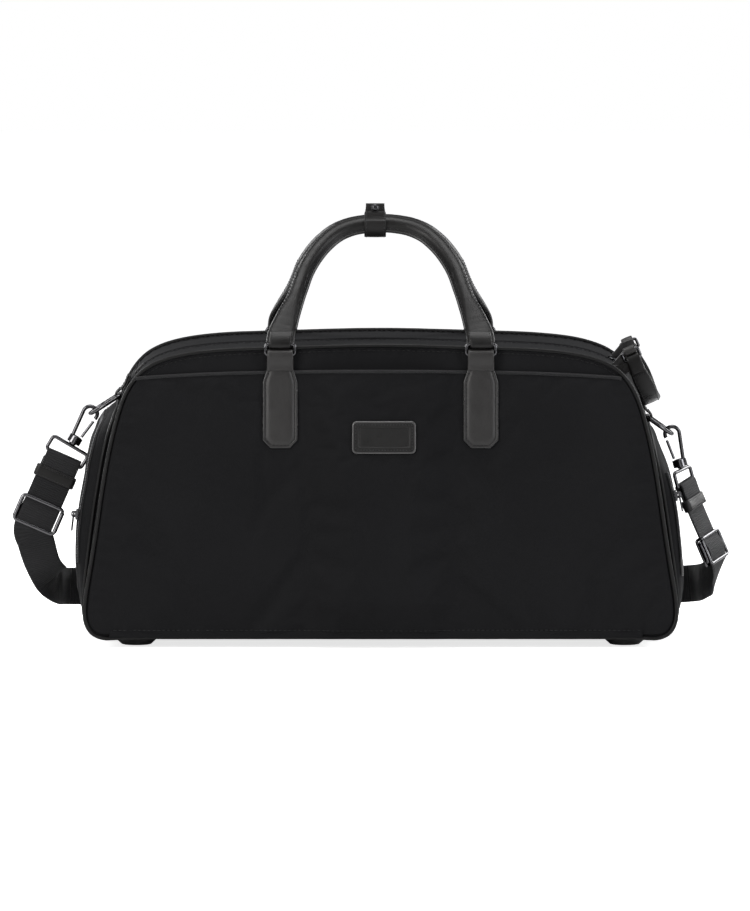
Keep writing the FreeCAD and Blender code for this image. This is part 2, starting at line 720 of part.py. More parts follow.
def main_zipper():
    tape_top = ARC_RADIUS - WALL - TAPE_GAP
    chain_foot = tape_top + TOUCH_GAP
    chain_top = chain_foot + size("chain_height")
    arc_band("top_zipper_tape", tape_top - size("tape_thickness"), tape_top,
             "Sizes.tape_half_width * 2")
    arc_band("top_zipper_chain", chain_foot, chain_top, "Sizes.chain_half_width * 2")
    angle = math.asin(ARC_HALF / ARC_RADIUS)
    radius = chain_top + TOUCH_GAP
    place = PL(V(radius * math.sin(angle), 0, ARC_CENTRE + radius * math.cos(angle)),
               ROT(Y_AXIS, math.degrees(angle)))
    slider_and_pull("top_zip", place, size("top_pull_droop"))


main_zipper()

# ---------------------------------------------------------------- end pockets
# Outer faces of the pockets from top to foot: (x, z).
LEFT_POCKET = [
    (-231.5, 203.5), (-236, 200.5), (-241, 193), (-246.5, 183), (-250, 172), (-253, 160),
    (-256, 140), (-259.4, 122), (-261.5, 105), (-262.6, 88), (-262.2, 60), (-260.8, 38),
    (-258, 25),
]
RIGHT_POCKET = [
    (236.5, 184), (239.5, 178.5), (242.5, 166), (248.5, 148), (252.5, 133), (255.5, 118),
    (258.5, 95), (260.2, 75), (261.2, 55), (260.6, 38), (258, 25),
]
ZIP_WIDTH, ZIP_SPAN = size("pocket_zip_width"), size("pocket_zip_span")


def end_pocket(label, outer, sign):
    made = body(label)
    profile = sketch(made, "XZ", 0, "profile")
    inner = seam_run(seam_length_at(outer[-1][1]), seam_length_at(outer[0][1]),
                     size("pocket_gap"), 25)
    spline_loop(profile, outer, [(-sign * x, z) for x, z in inner])
    pad(made, profile, "Sizes.pocket_half_depth * 2", symmetric=True)
    corners = sketch(made, "YZ", 0, "corners")
    top = outer[0][1] + 3
    edge = size("pocket_half_depth") + 2
    for way in (-1, 1):
        polygon(corners, [(way * 46, top), (way * edge, top), (way * edge, top - 56),
                          (way * (edge - 5), top - 36), (way * (edge - 14), top - 18)])
    cut_through(made, corners)


def pocket_zip(label, outer, sign, low, high, cutouts):
    """Raised strip on a pocket face between two heights; cutouts are (y, z) polygons."""
    made = body(label)
    points = [p for p in outer if low <= p[1] <= high]
    # the faces are listed downwards, so the right of travel is -x
    outward = [(-sign * nx, -sign * nz) for nx, nz in right_normals(points)]
    lift = size("pocket_zip_lift")
    under = shifted(points, outward, lift)
    over = shifted(points, outward, lift + size("pocket_zip_height"))
    profile = sketch(made, "XZ", 0, "profile")
    spline_loop(profile, under, over[::-1])
    pad(made, profile, "Sizes.pocket_zip_span * 2", symmetric=True)
    window = sketch(made, "YZ", 0, "window")
    for cutout in cutouts:
        polygon(window, cutout)
    cut_through(made, window)


def pocket_slider(prefix, outer, sign, height):
    """Slider on the rear leg of a pocket zip: local x down the face, local z out of it."""
    face = curve_through(outer[::-1])
    u = parameter_at(face, 1, height)
    point, tangent = face.value(u), face.tangent(u)[0]
    outward = V(sign * tangent.y, 0, -sign * tangent.x)
    down = V(-tangent.x, 0, -tangent.y)
    lift = size("pocket_zip_lift") + size("pocket_zip_height") + TOUCH_GAP
    origin = V(point.x, -(ZIP_SPAN - ZIP_WIDTH / 2), point.y) + outward * lift
    slider_and_pull(prefix, frame(down, outward.cross(down), outward, origin), 0)


LEG = ZIP_SPAN - ZIP_WIDTH    # inner edge of a zip leg, from the middle
LEFT_CUTOUTS = [[(-LEG, 0), (LEG, 0), (LEG, 150), (50 - ZIP_WIDTH, 176),
                 (-50 + ZIP_WIDTH, 176), (-LEG, 150)]]
for way in (1, -1):
    LEFT_CUTOUTS.append([(way * (ZIP_SPAN + 5), 150 + ZIP_WIDTH),
                         (way * (ZIP_SPAN - 2), 152 + ZIP_WIDTH),
                         (way * 50, 184), (way * 50, 200), (way * (ZIP_SPAN + 5), 200)])
RIGHT_CUTOUTS = [[(-LEG, 0), (ZIP_SPAN + 9, 0), (ZIP_SPAN + 9, 250), (-LEG, 250)]]

end_pocket("left_pocket", LEFT_POCKET, -1)
end_pocket("right_pocket", RIGHT_POCKET, 1)
pocket_zip("left_pocket_zipper", LEFT_POCKET, -1, 37, 184, LEFT_CUTOUTS)
pocket_zip("right_pocket_zipper", RIGHT_POCKET, 1, 70, 150, RIGHT_CUTOUTS)
pocket_slider("left_pocket", LEFT_POCKET, -1, 112)
pocket_slider("right_pocket", RIGHT_POCKET, 1, 128)

# ---------------------------------------------------------------- end grab handle (right end)
END_PLACE = PL(V(size("end_handle_x"), 0, size("end_handle_height")),
               ROT(Y_AXIS, size("end_handle_tilt")))
END_HALF = size("end_strap_span") / 2
# Rear half of the hanging strap: (fraction of the half span, fraction of the drop).
SAG = [(-1.0, 0.0), (-0.985, -0.30), (-0.90, -0.62), (-0.70, -0.85), (-0.40, -0.97),
       (0.0, -1.0)]
END_ANCHOR = [(-8.5, -5.5), (3, -4.5), (4.5, 8.5), (-5.5, 8.5)]   # local (x, z) outline


def end_strap():
    strap = body("end_handle_strap", END_PLACE)
    profile = sketch(strap, "YZ", 0, "profile")
    middle = [(y * END_HALF, z * size("end_strap_drop") - size("end_strap_offset"))
              for y, z in mirrored(SAG)]
    # the strap leaves both rings straight down
    sideways = [(-1, 0)] + right_normals(middle)[1:-1] + [(1, 0)]
    half = size("end_strap_thickness") / 2
    lower, upper = shifted(middle, sideways, half), shifted(middle, sideways, -half)
    spline_loop(profile, lower, upper[::-1])
    pad(strap, profile, "Sizes.end_strap_width", symmetric=True)


def end_ring(side, sign):
    place = END_PLACE.multiply(PL(V(0, sign * END_HALF, 0), ROT()))
    return wire_ring("end_ring_" + side, place, "end_ring", is_piece=False)


def end_anchor(side, sign):
    offset = V(size("end_anchor_shift"), sign * (END_HALF - size("end_anchor_inset")), 0)
    plate = body("end_anchor_" + side, END_PLACE.multiply(PL(offset, ROT())), is_piece=False)
    profile = sketch(plate, "XZ", -size("end_anchor_thickness") / 2, "outline")
    polygon(profile, END_ANCHOR)
    pad(plate, profile, "Sizes.end_anchor_thickness")
    return plate


end_strap()
ENDS = (("rear", -1), ("front", 1))
group("end_handle_rings", [end_ring(*end) for end in ENDS])
group("end_handle_anchors", [end_anchor(*end) for end in ENDS])

# ---------------------------------------------------------------- shoulder strap hardware
# Per side: height of the anchor on the seam, hook eye (x, z), direction from hook to eye,
# turn of the webbing about its length, and middle of the adjuster (x, z).
STRAP_SIDES = {
    "left": (-1, 209.5, (-253.4, 194.2), (0.512, 0.859), 0.0, (-298.6, 106.0)),
    "right": (1, 190.5, (254.5, 176.5), (-0.26, 0.9656), size("right_strap_turn"),
              (289.5, 77.0)),
}


def unit(start, end):
    length = math.hypot(end[0] - start[0], end[1] - start[1])
    return ((end[0] - start[0]) / length, (end[1] - start[1]) / length)


def along(start, direction, distance):
    return (start[0] + direction[0] * distance, start[1] + direction[1] * distance)


def upright(origin, up, turn=0.0):
    """Frame with local z along up in the xz plane, turned about that line."""
    angle = math.degrees(math.atan2(up[0], up[1]))
    return PL(V(origin[0], 0, origin[1]), ROT(Y_AXIS, angle).multiply(ROT(Z_AXIS, turn)))


def strap_anchor(side, axle):
    made = body(side + "_strap_anchor", PL(V(axle[0], 0, axle[1]), ROT()))
    profile = sketch(made, "XZ", 0, "loop")
    circle(profile, 0, 0, "anchor_radius")
    pad(made, profile, "Sizes.anchor_length", symmetric=True)
    profile = sketch(made, "XZ", 0, "bore")
    circle(profile, 0, 0, "anchor_bore")
    cut_through(made, profile)


def d_ring(side, axle, eye):
    """Straight bar through the anchor, bow reaching to the hook eye."""
    made = body(side + "_d_ring", upright(axle, unit(eye, axle)))
    path = sketch(made, "YZ", 0, "path")
    half, corner = size("dee_width") / 2, size("dee_corner")
    bow = half - math.hypot(axle[0] - eye[0], axle[1] - eye[1])
    line(path, (-half + corner, 0), (half - corner, 0))
    arc(path, half - corner, -corner, corner, 0, 90)
    line(path, (half, -corner), (half, bow))
    arc(path, 0, bow, half, 180, 360)
    line(path, (-half, bow), (-half, -corner))
    arc(path, -half + corner, -corner, corner, 90, 180)
    pipe(made, path, "XZ", (0, 0), "dee_wire")


def snap_hook(side, sign, place):
    """Wire hook with its stem on the outer side, standing on a round swivel."""
    hook = body(side + "_snap_hook", place)
    eye, reach, overlap = size("hook_eye"), size("hook_reach"), size("hook_overlap")
    root_x, root = sign * size("hook_root_x"), size("hook_root")
    path = sketch(hook, "XZ", 0, "path")
    line(path, (root_x, root), (sign * eye, reach))
    if sign < 0:
        arc(path, 0, reach, eye, -overlap, 180)
    else:
        arc(path, 0, reach, eye, 0, 180 + overlap)
    pipe(hook, path, "XY", (root_x, 0), "hook_wire", root)
    swivel = sketch(hook, "XY", size("swivel_foot"), "swivel")
    circle(swivel, 0, 0, "hook_eye")
    pad(hook, swivel, "Sizes.swivel_height")


def hook_gate(side, sign, place):
    gate = body(side + "_hook_gate", place)
    foot_x, foot = -sign * size("gate_foot_x"), size("gate_foot")
    path = sketch(gate, "XZ", 0, "path")
    line(path, (foot_x, foot),
         (-sign * size("gate_head_x"), size("hook_reach") - size("gate_head_drop")))
    pipe(gate, path, "XY", (foot_x, 0), "gate_wire", foot)


def strap_hardware(side):
    """Build one side's hardware; return the (x, z) where the webbing starts."""
    sign, height, eye, up, turn, _ = STRAP_SIDES[side]
    x, z = seam_point(seam_length_at(height), size("anchor_radius") + size("anchor_gap"))
    axle = (-sign * x, z)
    strap_anchor(side, axle)
    d_ring(side, axle, eye)
    hook_place = upright(along(eye, up, -size("hook_reach")), up)
    snap_hook(side, sign, hook_place)
    hook_gate(side, sign, hook_place)
    drop = PL(V(0, 0, -size("strap_loop_drop")), ROT(Z_AXIS, turn))
    wire_ring(side + "_strap_loop", hook_place.multiply(drop), "strap_loop", standing=False)
    start = hook_place.multVec(V(0, 0, -size("web_drop")))
    return (start.x, start.z)


def web_station(point, direction, turn):
    """Webbing station in the y = 0 plane: centre, direction across, direction through."""
    dx, dz = direction
    cos, sin = math.cos(math.radians(turn)), math.sin(math.radians(turn))
    return ((point[0], 0, point[1]), (-dz * cos, sin, dx * cos), (dz * sin, cos, -dx * sin))


def cuff(label, kind, centre, direction, turn):
    """Flat tube standing round the webbing, sized by the aliases that start with kind."""
    made = body(label, upright(centre, (-direction[0], -direction[1]), turn))
    profile = sketch(made, "XY", -size(kind + "_height") / 2, "section")
    width = size("web_width") + 2 * size("web_clearance")
    thickness = size("web_thickness") + 2 * size("web_clearance")
    wall = size(kind + "_wall")
    rounded(profile, 0, 0, width + 2 * wall, thickness + 2 * wall, size(kind + "_corner"))
    rounded(profile, 0, 0, width, thickness, size("cuff_inner_corner"))
    pad(made, profile, "Sizes.%s_height" % kind)


web_ends = {}   # side -> stations at the hook and just past the adjuster
for side, (_, _, _, _, turn, adjuster) in STRAP_SIDES.items():
    start = strap_hardware(side)
    direction = unit(start, adjuster)
    cuff(side + "_keeper", "keeper", along(start, direction, size("keeper_distance")),
         direction, turn)
    cuff(side + "_adjuster", "adjuster", adjuster, direction, turn)
    past = along(adjuster, direction, size("web_past_adjuster"))
    web_ends[side] = [web_station(p, direction, turn) for p in (start, past)]

# ---------------------------------------------------------------- webbing
FRONT = size("web_front")
# The webbing from left to right, round the front of the bag:
# (centre, direction across its width, direction through its thickness).
WEB_STATIONS = web_ends["left"] + [
    ((-301, 2, 82), (1, 0, 0), (0, 1, 0)),
    ((-296, 8, 64), (1, -0.25, 0.25), (0, 1, 0.25)),
    ((-289, 22, 50), (0.75, -0.35, 0.75), (0.5, 1, 0.1)),
    ((-285, 42, 42), (0.22, -0.08, 1), (1, 0.25, 0)),
    ((-283, 62, 38), (0, 0, 1), (1, 0.05, 0)),
    ((-281.5, 88, 35), (0, 0, 1), (1, 0.15, 0)),
    ((-276, 111, 33), (0, 0, 1), (1, 0.75, 0)),
    ((-258, FRONT - 1.5, 31.5), (0, 0, 1), (0.25, 1, 0)),
    ((-225, FRONT, 30), (0, 0, 1), (0, 1, 0)),
    ((0, FRONT, 28), (0, 0, 1), (0, 1, 0)),
    ((225, FRONT, 31), (0, 0, 1), (0, 1, 0)),
    ((258, FRONT - 1.5, 33), (0, 0, 1), (-0.25, 1, 0)),
    ((276, 111, 35.5), (0, 0, 1), (-1, 0.75, 0)),
    ((281.5, 88, 38.5), (0, 0, 1), (-1, 0.15, 0)),
    ((283.5, 62, 42), (0, 0, 1), (-1, 0.05, 0)),
    ((287, 42, 46), (0.02, -0.05, 1), (-1, 0.1, 0)),
    ((291.5, 24, 49.5), (0.1, 0.25, 0.95), (-1, 0.25, 0)),
    ((295.5, 9, 55.5), (0.28, 0.75, 0.6), (-0.95, 0.35, 0)),
] + web_ends["right"][::-1]
TWIST_LIMIT = 0.15    # radians of turn between stations above which the span is split
TWIST_PARTS = 3


def web_corners(centre, across, through):
    across, through = V(across), V(through)
    across.normalize()
    through = through - across * through.dot(across)
    through.normalize()
    wide = across * (size("web_width") / 2)
    thick = through * (size("web_thickness") / 2)
    return [centre - wide - thick, centre + wide - thick,
            centre + wide + thick, centre - wide + thick]


def refined_stations():
    """Stations as vectors, with extra ones wherever the webbing twists."""
    stations = []
    for here, ahead in zip(WEB_STATIONS, WEB_STATIONS[1:]):
        centre, across, through = [V(*v) for v in here]
        next_centre, next_across, next_through = [V(*v) for v in ahead]
        for direction in (across, through, next_across, next_through):
            direction.normalize()
        if across.dot(next_across) < 0:
            next_across = next_across * -1
        if through.dot(next_through) < 0:
            next_through = next_through * -1
        twisted = (across.getAngle(next_across) > TWIST_LIMIT
                   or through.getAngle(next_through) > TWIST_LIMIT)
        parts = TWIST_PARTS if twisted else 1
        for i in range(parts):
            f = i / parts
            stations.append((centre * (1 - f) + next_centre * f,
                             across * (1 - f) + next_across * f,
                             through * (1 - f) + next_through * f))
    stations.append([V(*v) for v in WEB_STATIONS[-1]])
    return stations


def triangle(*points):
    return Part.Face(Part.makePolygon([*points, points[0]]))


def webbing():
    outlines = [web_corners(*station) for station in refined_stations()]
    for i in range(1, len(outlines)):
        # keep the four corners in step from one station to the next
        before, now = outlines[i - 1], outlines[i]
        shift = min(range(4), key=lambda k: sum(
            (now[(j + k) % 4] - before[j]).Length for j in range(4)))
        outlines[i] = now[shift:] + now[:shift]
    faces = []
    for near, far in zip(outlines, outlines[1:]):
        for j in range(4):
            a, b, c, d = near[j], near[(j + 1) % 4], far[(j + 1) % 4], far[j]
            # both flat faces are split along the same diagonal, so the band keeps its
            # thickness in the twists
            if j in (1, 2):
                faces += [triangle(a, b, d), triangle(b, c, d)]
            else:
                faces += [triangle(a, b, c), triangle(a, c, d)]
    for a, b, c, d in (outlines[0], outlines[-1]):
        faces += [triangle(a, b, c), triangle(a, c, d)]
    solid = Part.makeSolid(Part.makeShell(faces))
    # the shell may come out facing inwards
    if solid.Volume < 0:
        solid.reverse()
    add("Part::Feature", "strap_webbing", True, Shape=solid)


webbing()


# ---------------------------------------------------------------- feet
def feet():
    """Conical feet under the base, with a rivet above the board over each."""
    cones, rivets = [], []
    rivet_z = FLOOR_TOP + 2 * BOARD_GAP + size("board_thickness")
    for depth_word, depth_sign in ENDS:
        for side, sign in SIDES:
            corner = "%s_%s" % (depth_word, side)
            x, y = sign * size("foot_spacing"), depth_sign * size("foot_depth_spacing")
            cones.append(primitive(
                "Cone", "foot_" + corner, PL(V(x, y, 0), ROT()),
                Radius1="Sizes.foot_bottom_radius", Radius2="Sizes.foot_top_radius",
                Height="Sizes.foot_height"))
            rivets.append(primitive(
                "Cylinder", "rivet_" + corner, PL(V(x, y, rivet_z), ROT()),
                Radius="Sizes.rivet_radius", Height="Sizes.rivet_height"))
    group("feet", cones)
    group("foot_rivets", rivets)


feet()

# ---------------------------------------------------------------- checks and export
doc.recompute()
bad = [o.Name for o in doc.Objects if "Invalid" in o.State or "Error" in o.State]
bad += [label for label, o in pieces.items()
        if o.Shape.isNull() or not o.Shape.isValid() or not o.Shape.Solids]
if bad:
    raise RuntimeError("Failed objects: " + ", ".join(bad))
os.makedirs("parts", exist_ok=True)
for label, made in sorted(pieces.items()):
    made.Shape.exportStep("parts/" + label + ".step")
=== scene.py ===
"""Travel bag with a luggage sleeve, two arched grips, an end grab handle and a shoulder strap.

Shapes are worked out in millimetres and add_mesh turns them into metres.  X runs along the bag
with left at -X, and Z is up.  The rear carries the sleeve and faces -Y, towards the camera; the
front faces +Y.  "facing" is -1 for the rear and 1 for the front; "sign" is -1 left and 1 right.
"""

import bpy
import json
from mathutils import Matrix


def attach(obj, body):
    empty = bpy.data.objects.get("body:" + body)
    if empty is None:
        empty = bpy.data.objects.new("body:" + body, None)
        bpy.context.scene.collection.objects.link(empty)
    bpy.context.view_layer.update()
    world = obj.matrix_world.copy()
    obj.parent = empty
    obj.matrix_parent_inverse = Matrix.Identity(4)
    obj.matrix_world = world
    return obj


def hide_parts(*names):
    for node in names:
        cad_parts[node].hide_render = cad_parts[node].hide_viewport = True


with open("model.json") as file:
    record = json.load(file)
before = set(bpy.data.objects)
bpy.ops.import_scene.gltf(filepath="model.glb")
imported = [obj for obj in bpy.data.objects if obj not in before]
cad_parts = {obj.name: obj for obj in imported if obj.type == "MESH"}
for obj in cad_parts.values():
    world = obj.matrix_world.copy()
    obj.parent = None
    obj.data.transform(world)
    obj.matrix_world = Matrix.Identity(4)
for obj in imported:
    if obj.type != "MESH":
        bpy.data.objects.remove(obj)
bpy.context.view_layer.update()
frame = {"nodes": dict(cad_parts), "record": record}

import json
import math
import bmesh
import bpy
import numpy as np
from mathutils import Vector, noise

MM = 0.001
BODY_OF = {node: body for body, nodes in frame["record"]["behaviour"]["bodies"].items()
           for node in nodes}

# A host is (body the piece rides on, material slot).
ON_SHELL = ("bag", "shell_fabric")
ON_PIPING = ("bag", "seam_piping")
ON_BINDING = ("bag", "edge_binding")
ON_PATCH = ("bag", "patch_face")
ON_LEATHER = ("bag", "handle_leather")
ON_TAPE = ("bag", "zip_tape")
ON_TEETH = ("bag", "zip_teeth")
ON_END_GRIP = ("end_grip", "handle_leather")
ON_STRAP = ("strap", "strap_web")
ON_STRAP_LEATHER = ("strap", "handle_leather")

X_AXIS = np.array([1.0, 0, 0])
Y_AXIS = np.array([0, 1.0, 0])
SIDES = ((-1, "left"), (1, "right"))
FACES = ((-1, "rear"), (1, "front"))


# ================================================================= vectors and paths
def unit(vector):
    vector = np.asarray(vector, float)
    return vector / (np.linalg.norm(vector) + 1e-12)


def square_to(vector, axis):
    """Unit vector nearest to vector that is square to a unit axis."""
    return unit(np.asarray(vector, float) - axis * np.dot(vector, axis))


def run_length(points):
    """Distance run at each point of a path."""
    return np.r_[0, np.cumsum(np.linalg.norm(np.diff(points, axis=0), axis=1))]


def at_length(points, dist, s):
    """Values of points at distance s, or at an array of distances."""
    return np.stack([np.interp(s, dist, points[:, k]) for k in range(points.shape[1])], -1)


def mirrored(points):
    """The same (across, height) points on the other side, in reverse order."""
    return [(-a, b) for a, b in reversed(points)]


def smooth_path(points, count, closed=False):
    """Centripetal Catmull-Rom curve through the points, resampled to count even stations."""
    knots = np.asarray(points, float)
    total = len(knots)
    dense = []
    for i in range(total if closed else total - 1):
        p0 = knots[i - 1] if (closed or i > 0) else 2 * knots[0] - knots[1]
        p1, p2 = knots[i], knots[(i + 1) % total]
        last = not closed and i + 2 >= total
        p3 = 2 * knots[-1] - knots[-2] if last else knots[(i + 2) % total]
        d01, d12, d23 = [max(np.linalg.norm(b - a) ** 0.5, 1e-6)
                         for a, b in ((p0, p1), (p1, p2), (p2, p3))]
        m1 = (p2 - p1) + d12 * ((p1 - p0) / d01 - (p2 - p0) / (d01 + d12))
        m2 = (p2 - p1) + d12 * ((p3 - p2) / d23 - (p3 - p1) / (d12 + d23))
        for k in range(24):
            t = k / 24
            dense.append((2 * t ** 3 - 3 * t ** 2 + 1) * p1 + (t ** 3 - 2 * t ** 2 + t) * m1
                         + (-2 * t ** 3 + 3 * t ** 2) * p2 + (t ** 3 - t ** 2) * m2)
    dense.append(dense[0] if closed else knots[-1])
    dense = np.array(dense)
    dist = run_length(dense)
    if closed:
        return at_length(dense, dist, np.linspace(0, dist[-1], count + 1))[:-1]
    return at_length(dense, dist, np.linspace(0, dist[-1], count))


def tangents(path, closed=False):
    if closed:
        step = np.roll(path, -1, 0) - np.roll(path, 1, 0)
    else:
        step = np.gradient(path, axis=0)
    return step / (np.linalg.norm(step, axis=1, keepdims=True) + 1e-12)


def carried_frame(path, up, closed):
    """Two side vectors per station, carried along the path without twist from up."""
    forward = tangents(path, closed)
    side = [square_to(up, forward[0])]
    for t in forward[1:]:
        side.append(square_to(side[-1], t))
    side = np.array(side)
    if closed:      # spread the mismatch at the join over the whole loop
        last = side[-1] - forward[0] * np.dot(side[-1], forward[0])
        twist = math.atan2(np.dot(np.cross(last, side[0]), forward[0]), np.dot(last, side[0]))
        for i in range(len(path)):
            angle = twist * i / len(path)
            other = np.cross(forward[i], side[i])
            side[i] = side[i] * math.cos(angle) + other * math.sin(angle)
    return side, np.cross(forward, side)


def normals_toward(path, across, index, toward):
    """Normals of a strip along path; at station index they look toward the given direction."""
    normals = np.cross(across, tangents(path))
    return -normals if np.dot(normals[index], toward) < 0 else normals


def station(path, normals, dist, middle, reach):
    """Place, direction, normal and sideways vector at distance middle along a path."""
    ahead = at_length(path, dist, min(middle + reach, dist[-1]))
    behind = at_length(path, dist, max(middle - reach, 0))
    forward = unit(ahead - behind)
    normal = unit(at_length(normals, dist, middle))
    return at_length(path, dist, middle), forward, normal, np.cross(normal, forward)


# ================================================================= closed 2-D loops
def round_poly(corners, radii, steps=6):
    """Round the corners of a polygon; radii is one value or one per corner."""
    loop = []
    radii = np.broadcast_to(radii, len(corners))
    for i in range(len(corners)):
        corner = np.array(corners[i], float)
        before = np.array(corners[i - 1], float)
        after = np.array(corners[(i + 1) % len(corners)], float)
        u, v = unit(before - corner), unit(after - corner)
        angle = math.acos(np.clip(np.dot(u, v), -1, 1))
        cut = min(radii[i] / math.tan(angle / 2), 0.48 * np.linalg.norm(before - corner),
                  0.48 * np.linalg.norm(after - corner))
        for k in range(steps + 1):
            t = k / steps
            loop.append(tuple((1 - t) ** 2 * (corner + u * cut) + 2 * t * (1 - t) * corner
                              + t * t * (corner + v * cut)))
    return loop


def rounded_rect(width, height, radius):
    loop = []
    x, y = width / 2 - radius, height / 2 - radius
    for cx, cy, start in ((x, -y, -90), (x, y, 0), (-x, y, 90), (-x, -y, 180)):
        for i in range(11):
            a = math.radians(start + 90 * i / 10)
            loop.append((cx + radius * math.cos(a), cy + radius * math.sin(a)))
    return loop


def resample_loop(loop, step):
    points = np.array(list(loop) + [loop[0]], float)
    dist = run_length(points)
    count = max(12, int(dist[-1] / step))
    return at_length(points, dist, np.linspace(0, dist[-1], count + 1)[:-1])


def inset_loop(loop, depth):
    """Move a closed loop inwards by depth."""
    following = np.roll(loop, -1, 0)
    area = 0.5 * np.sum(loop[:, 0] * following[:, 1] - loop[:, 1] * following[:, 0])
    arrive, leave = loop - np.roll(loop, 1, 0), following - loop
    arrive /= np.linalg.norm(arrive, axis=1, keepdims=True) + 1e-9
    leave /= np.linalg.norm(leave, axis=1, keepdims=True) + 1e-9
    mean = arrive + leave
    mean /= np.linalg.norm(mean, axis=1, keepdims=True) + 1e-9
    inward = np.stack([-mean[:, 1], mean[:, 0]], 1) * (1 if area > 0 else -1)
    miter = np.clip(np.abs(np.sum(arrive * mean, axis=1)), 0.5, 1)
    return loop + inward * (depth / miter)[:, None]


# ================================================================= falloffs and unevenness
def smoothstep(low, high, x):
    t = np.clip((x - low) / (high - low), 0, 1)
    return t * t * (3 - 2 * t)


def from_seam(distance, reach, power):
    """0 at a seam, rising to 1 away from it."""
    return 1 - np.exp(-(distance / reach) ** power)


def bell(x, middle, width):
    return math.exp(-((x - middle) / width) ** 2)


def unevenness(point, scale, seed, octaves=3):
    shifted = Vector((point[0] / scale + seed, point[1] / scale - seed * 0.7,
                      point[2] / scale + 2 * seed))
    return noise.fractal(shifted, 1.0, 2.0, octaves)


def pucker(s, height, pitch, seed):
    """Gathers of the cloth beside a seam."""
    drift = noise.noise(Vector((s * 0.03, seed, 0.3)))
    return height * math.sin(2 * math.pi * s / pitch + 2.0 * drift)


# ================================================================= mesh makers
def add_mesh(name, verts, faces, mats, host, node=None, uv=None, smooth=True):
    """verts in mm; uv = per-vertex (u, v) in mm, stored in metres; node = CAD piece replaced."""
    mesh = bpy.data.meshes.new(name)
    places = np.asarray(verts, float) * MM
    mesh.from_pydata([tuple(p) for p in places], [], [tuple(int(i) for i in f) for f in faces])
    mesh.validate()
    if smooth:
        mesh.polygons.foreach_set("use_smooth", [True] * len(mesh.polygons))
    if uv is not None:
        layer = mesh.uv_layers.new(name="UVMap")
        index = np.empty(len(mesh.loops), np.int32)
        mesh.loops.foreach_get("vertex_index", index)
        layer.data.foreach_set("uv", (np.asarray(uv, float)[index] * MM).ravel())
    piece = bpy.data.objects.new(name, mesh)
    bpy.context.scene.collection.objects.link(piece)
    for mat in (mats if isinstance(mats, list) else [mats]):
        mesh.materials.append(mat)
    if node:
        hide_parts(node)
    body, slot = host
    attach(piece, body)
    return piece


def fix_normals(piece):
    bm = bmesh.new()
    bm.from_mesh(piece.data)
    bmesh.ops.recalc_face_normals(bm, faces=bm.faces)
    bm.to_mesh(piece.data)
    bm.free()
    piece.data.update()


def grid_faces(rows, cols, wrap_rows=False, wrap_cols=False, flip=False, base=0):
    faces = []
    for i in range(rows if wrap_rows else rows - 1):
        near, far = base + i * cols, base + (i + 1) % rows * cols
        for j in range(cols if wrap_cols else cols - 1):
            k = (j + 1) % cols
            if flip:
                faces.append((near + j, near + k, far + k, far + j))
            else:
                faces.append((near + j, far + j, far + k, near + k))
    return faces


def ring_faces(rings, sides, closed=False, base=0):
    """Skin over a run of rings, with end caps unless the run is closed."""
    faces = grid_faces(rings, sides, closed, True, base=base)
    if not closed:
        faces.append(tuple(range(base, base + sides)))
        faces.append(tuple(reversed(range(base + (rings - 1) * sides, base + rings * sides))))
    return faces


def tube(name, path, radius, mat, host, up=(0, 0, 1), closed=False, sides=10, node=None):
    """Round cord; radius is one value or one per station."""
    path = np.asarray(path, float)
    side, other = carried_frame(path, up, closed)
    radius = np.broadcast_to(np.asarray(radius, float), len(path))
    dist = run_length(path)
    verts, uv = [], []
    for i in range(len(path)):
        for j in range(sides):
            a = 2 * math.pi * j / sides
            verts.append(path[i] + radius[i] * (math.cos(a) * side[i] + math.sin(a) * other[i]))
            uv.append((dist[i], radius[i] * 2 * math.pi * j / sides))
    add_mesh(name, verts, ring_faces(len(path), sides, closed), mat, host, node=node, uv=uv)


def sweep(name, path, across, normals, profile, mat, host, closed=False, widths=None, node=None):
    """Carry a profile of (along across, along normal) down the path; widths scale the first."""
    path = np.asarray(path, float)
    across, normals = (np.broadcast_to(a, path.shape) for a in (across, normals))
    dist, girth = run_length(path), run_length(profile)
    verts, uv = [], []
    for i in range(len(path)):
        side, normal = unit(across[i]), unit(normals[i])
        scale = 1 if widths is None else widths[i]
        for j, (a, b) in enumerate(profile):
            verts.append(path[i] + side * a * scale + normal * b)
            uv.append((girth[j], dist[i]))
    faces = ring_faces(len(path), len(profile), closed)
    return add_mesh(name, verts, faces, mat, host, node=node, uv=uv)


def strap_profile(width, thick, crown):
    """Flat strap with round edges; crown = extra height in the middle of the top."""
    half, r = width / 2, thick / 2
    top = [(-half + r + (width - 2 * r) * i / 9, r + crown * (1 - (2 * i / 9 - 1) ** 2))
           for i in range(10)]
    bottom = [(half - r - (width - 2 * r) * i / 9, -r) for i in range(10)]
    right, left = [], []
    for i in range(1, 5):
        a = math.pi / 2 - math.pi * i / 5
        right.append((half - r + r * math.cos(a), r * math.sin(a)))
        a = -math.pi / 2 - math.pi * i / 5
        left.append((-half + r + r * math.cos(a), r * math.sin(a)))
    return top + right + bottom + left


def ribbon(name, path, across, normals, size, mat, host, **options):
    """Strap along a path; size = (width, thickness, crown)."""
    sweep(name, path, across, normals, strap_profile(*size), mat, host, **options)


# outline of one stitch: (place along it, fullness)
STITCH_SHAPE = [(-0.5, 0.0), (-0.44, 0.6), (-0.25, 0.95), (0.0, 1.0), (0.25, 0.95), (0.44, 0.6),
                (0.5, 0.0)]


